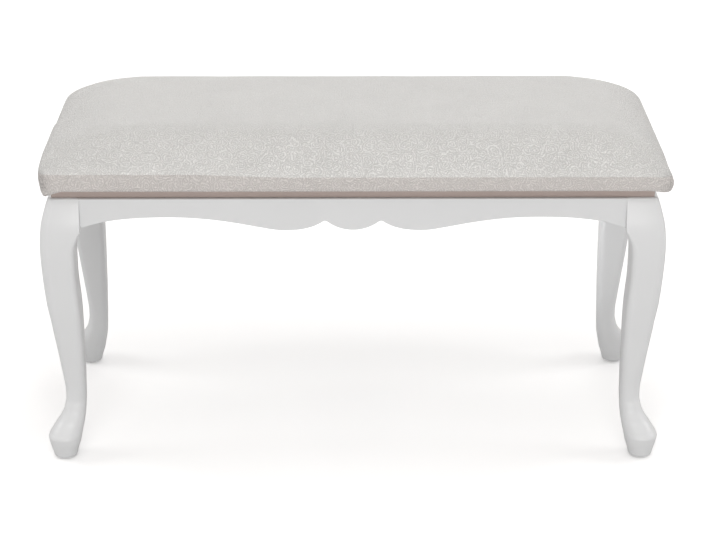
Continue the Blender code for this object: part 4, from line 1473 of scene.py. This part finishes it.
class BENCH_OT_dust_cloth(bpy.types.Operator):
    """Make the dust cloth under the board and the staples that hold it"""

    bl_idname = "bench.dust_cloth"
    bl_label = "Dust cloth"

    def execute(self, context):
        low, high = CLOTH_LOW, CLOTH_HIGH
        bm = bmesh.new()
        bmesh.ops.create_grid(bm, x_segments=DUST_COLUMNS, y_segments=DUST_ROWS, size=0.5)
        for vert in bm.verts:
            inner = bump_curve(vert.co.x, 0.5) * bump_curve(vert.co.y, 0.5)
            pull = noise.noise(Vector((vert.co.x * 9, vert.co.y * 5, 0.0)))
            vert.co.x *= high.x - low.x
            vert.co.y *= high.y - low.y
            vert.co.z = high.z - DUST_GAP - DUST_SAG * inner - DUST_RUCK * abs(pull) * inner
        mesh = mesh_from("dust_cloth_sheet", bm)
        maker = working_object("dust_cloth_sheet", mesh)
        thick = maker.modifiers.new("thickness", "SOLIDIFY")
        thick.thickness = DUST_THICKNESS
        thick.offset = 0.0
        sheet = plain_mesh("dust_cloth_sheet", maker)
        smooth(sheet, 60.0)
        cloth = mesh_piece("dust_cloth_sheet", sheet, dust_cloth_material(), ("dust_cloth",))
        steel = steel_material("staple_steel")
        values = {
            "Half Length": high.x - STAPLE_MARGIN,
            "Half Width": high.y - STAPLE_MARGIN,
            "Height": high.z - STAPLE_DROP,
            "Spacing": 0.046,
            "Crown": 0.010,
            "Wire": 0.0010,
            "Seed": 3,
            "Material": steel,
        }
        mesh = grown_mesh("dust_cloth_staples", staple_tree(), values)
        staples = mesh_piece("dust_cloth_staples", mesh, steel)
        return {"FINISHED"}


class BENCH_OT_corner_blocks(bpy.types.Operator):
    """Make the beech corner blocks and finish the dowels"""

    bl_idname = "bench.corner_blocks"
    bl_label = "Corner blocks and dowels"

    def execute(self, context):
        rounding = context.scene.bench_wood.block_rounding
        light, dark = (0.62, 0.44, 0.28), (0.40, 0.25, 0.14)
        for corner, (side_x, side_y, _) in CORNERS.items():
            turn = (0.0, 0.0, math.radians(45.0 * side_x * side_y))
            material = wood_material("beech_" + corner, light, dark, 110.0, turn)
            name = "beech_block_" + corner
            mesh = rounded(name, node_copy("corner_block_" + corner), rounding, 2)
            mesh_piece(name, mesh, material, ("corner_block_" + corner,))
        dowel = wood_material("beech_dowels", light, dark, 140.0)
        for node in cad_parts:
            if node.startswith("dowel_"):
                repaint(node, dowel)
        return {"FINISHED"}


class BENCH_OT_hardware(bpy.types.Operator):
    """Finish the hanger bolts, washers, nuts and seat screws"""

    bl_idname = "bench.hardware"
    bl_label = "Bolts and screws"

    def execute(self, context):
        threaded = steel_material("threaded_steel", 0.001)
        plated = steel_material("plated_steel")
        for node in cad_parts:
            if node.startswith("hanger_bolt_"):
                repaint(node, threaded)
            elif node.startswith(("washer_", "nut_", "seat_screw_")):
                repaint(node, plated)
        return {"FINISHED"}


def turned_mesh(name, profile, count, place):
    """Round solid turned about Z through (radius, height) points."""
    bm = bmesh.new()
    loops = []
    for radius, height in profile:
        ring = []
        for i in range(count):
            angle = 2 * math.pi * i / count
            spot = (place[0] + radius * math.cos(angle), place[1] + radius * math.sin(angle), height)
            ring.append(bm.verts.new(spot))
        loops.append(ring)
    for lower, upper in zip(loops, loops[1:]):
        for i in range(count):
            j = (i + 1) % count
            bm.faces.new((lower[i], lower[j], upper[j], upper[i]))
    bm.faces.new(loops[0])
    bm.faces.new(loops[-1])
    mesh = mesh_from(name, bm)
    smooth(mesh, 40.0)
    return mesh


class BENCH_OT_glides(bpy.types.Operator):
    """Make the nail-on floor glides"""

    bl_idname = "bench.glides"
    bl_label = "Floor glides"

    def execute(self, context):
        material = lacquer_material(
            "glide_nylon", (0.74, 0.74, 0.72), gloss_low=0.42, gloss_high=0.58, coat=0.0
        )
        for corner in CORNERS:
            low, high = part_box("foot_glide_" + corner)
            radius = (high.x - low.x) / 2
            middle = ((low.x + high.x) / 2, (low.y + high.y) / 2)
            pin, disc_top, soft = 0.0015, 0.003, 0.0008
            profile = [(radius - soft, low.z)]
            for i in range(1, 5):
                angle = i / 4 * math.pi / 2
                spot = (radius - soft + soft * math.sin(angle), low.z + soft - soft * math.cos(angle))
                profile.append(spot)
            profile += [(radius, disc_top), (pin, disc_top), (pin, high.z - pin), (pin * 0.3, high.z)]
            name = "nylon_glide_" + corner
            mesh = turned_mesh(name, profile, 48, middle)
            mesh_piece(name, mesh, material, ("foot_glide_" + corner,))
        return {"FINISHED"}


# ------------------------------------------------------------------ stage


def floor_material(stage):
    """Pale matt floor, brighter to the camera than the light it sends back."""
    material, graph, shader = start_material("pale_floor", Roughness=0.9, Specular_IOR_Level=0.1)
    seen = graph.add("ShaderNodeLightPath").outputs["Is Camera Ray"]
    sent = tuple(channel * stage.floor_bounce for channel in stage.floor)
    paint = graph.mix(seen, (*sent, 1.0), (*stage.floor, 1.0))
    graph.feed(shader.inputs["Base Color"], paint)
    shader.inputs["Emission Color"].default_value = (*stage.floor, 1.0)
    glow = graph.math("MULTIPLY", seen, stage.floor_glow)
    graph.feed(shader.inputs["Emission Strength"], glow)
    return material


MIDDLE = (0.0, 0.0, 0.30)
WHITE = (1.0, 1.0, 1.0)
WARM = (1.0, 0.99, 0.98)
WIDE_OPEN = 180.0
FLOOR_HALF = 30.0  # half the floor's side
BACKDROP_TONE = (0.955, 0.955, 0.955, 1.0)

# Studio lights: name, place, the point it is turned to, length and width, power in watts, tint
# and the angle in degrees that its light spreads over.
SOFTBOXES = (
    ("front_key", (-0.2, -2.6, 3.3), MIDDLE, (1.8, 0.7), 26.5, WARM, WIDE_OPEN),
    ("low_front", (0.1, -3.8, 0.85), MIDDLE, (2.0, 1.2), 26.0, WARM, WIDE_OPEN),
    ("back_panel", (0.0, 3.2, 1.6), MIDDLE, (4.5, 1.8), 27.0, WHITE, WIDE_OPEN),
    ("overhead", (0.3, 0.0, 3.0), MIDDLE, (3.0, 1.2), 11.0, WHITE, WIDE_OPEN),
    ("under_fill", (0.0, -0.06, 0.22), (0.39, 0.14, 0.26), (0.3, 0.1), 0.12, WHITE, 60.0),
    ("side_panel", (-2.6, 0.2, 1.9), MIDDLE, (1.2, 1.2), 15.0, WHITE, WIDE_OPEN),
    ("side_panel", (2.6, 0.2, 1.9), MIDDLE, (1.2, 1.2), 15.0, WHITE, WIDE_OPEN),
)


def add_softbox(name, place, target, size, power, tint, spread):
    """Rectangular studio light turned towards a point."""
    data = bpy.data.lights.new(name, "AREA")
    data.shape = "RECTANGLE"
    data.size, data.size_y = size
    data.energy = power
    data.color = tint
    data.spread = math.radians(spread)
    lamp = bpy.data.objects.new(name, data)
    bpy.context.collection.objects.link(lamp)
    lamp.visible_camera = False
    lamp.location = place
    lamp.rotation_euler = (Vector(target) - Vector(place)).to_track_quat("-Z", "Y").to_euler()


def add_surround(stage):
    """Soft light from all round, seen by the camera as the same pale tone as the floor."""
    world = bpy.data.worlds.new("studio_surround")
    bpy.context.scene.world = world
    world.use_nodes = True
    graph = Graph(world.node_tree)
    path = graph.add("ShaderNodeLightPath").outputs["Is Camera Ray"]
    lit = graph.add("ShaderNodeBackground", {"Color": (*stage.sky, 1.0), "Strength": stage.sky_strength})
    seen = graph.add("ShaderNodeBackground", {"Color": BACKDROP_TONE, "Strength": 1.0})
    blend = graph.add("ShaderNodeMixShader", {0: path, 1: lit.outputs[0], 2: seen.outputs[0]})
    output = graph.add("ShaderNodeOutputWorld")
    graph.feed(output.inputs["Surface"], blend.outputs[0])


def add_camera(stage):
    """Camera in front of the bench, looking down at it."""
    data = bpy.data.cameras.new("bench_camera")
    data.lens = stage.lens
    data.sensor_width = 36.0
    data.shift_x = stage.sidestep
    camera = bpy.data.objects.new("bench_camera", data)
    bpy.context.collection.objects.link(camera)
    turn = stage.bearing
    camera.location = (-stage.distance * math.sin(turn), -stage.distance * math.cos(turn), stage.height)
    camera.rotation_euler = (math.pi / 2 - stage.pitch, 0.0, -turn)
    bpy.context.scene.camera = camera


class BENCH_OT_stage(bpy.types.Operator):
    """Make the floor, the studio lights and the camera"""

    bl_idname = "bench.stage"
    bl_label = "Stage"

    def execute(self, context):
        stage = context.scene.bench_stage
        context.scene.view_settings.view_transform = "Standard"
        bm = bmesh.new()
        bmesh.ops.create_grid(bm, x_segments=2, y_segments=2, size=FLOOR_HALF)
        floor = bpy.data.objects.new("pale_floor", mesh_from("pale_floor", bm))
        context.collection.objects.link(floor)
        floor.data.materials.append(floor_material(stage))
        add_surround(stage)
        for light in SOFTBOXES:
            add_softbox(*light)
        add_camera(stage)
        return {"FINISHED"}


# ------------------------------------------------------------------ panel and start


class BENCH_PT_build(bpy.types.Panel):
    """Lists the bench's operators and sizes"""

    bl_idname = "BENCH_PT_build"
    bl_label = "Piano Bench"
    bl_space_type = "VIEW_3D"
    bl_region_type = "UI"
    bl_category = "Bench"

    def draw(self, context):
        layout = self.layout
        for operator in OPERATORS:
            layout.operator(operator.bl_idname)
        for settings in (context.scene.bench_wood, context.scene.bench_seat, context.scene.bench_stage):
            box = layout.box()
            for name in settings.bl_rna.properties.keys():
                if name not in {"rna_type", "name"}:
                    box.prop(settings, name)


SETTINGS = (BenchWoodSettings, BenchSeatSettings, BenchStageSettings)
OPERATORS = (
    BENCH_OT_legs,
    BENCH_OT_aprons,
    BENCH_OT_risers,
    BENCH_OT_seat_cover,
    BENCH_OT_seat_core,
    BENCH_OT_dust_cloth,
    BENCH_OT_corner_blocks,
    BENCH_OT_hardware,
    BENCH_OT_glides,
    BENCH_OT_stage,
)


def register():
    """Register the settings, operators and panel."""
    for item in (*SETTINGS, *OPERATORS, BENCH_PT_build):
        bpy.utils.register_class(item)
    bpy.types.Scene.bench_wood = bpy.props.PointerProperty(type=BenchWoodSettings)
    bpy.types.Scene.bench_seat = bpy.props.PointerProperty(type=BenchSeatSettings)
    bpy.types.Scene.bench_stage = bpy.props.PointerProperty(type=BenchStageSettings)


def unregister():
    """Remove the settings, operators and panel."""
    del bpy.types.Scene.bench_stage
    del bpy.types.Scene.bench_seat
    del bpy.types.Scene.bench_wood
    for item in (BENCH_PT_build, *reversed(OPERATORS), *reversed(SETTINGS)):
        bpy.utils.unregister_class(item)


def main():
    """Build every piece and the stage."""
    register()
    for operator in OPERATORS:
        group, name = operator.bl_idname.split(".")
        getattr(getattr(bpy.ops, group), name)()


if __name__ == "__main__":
    main()
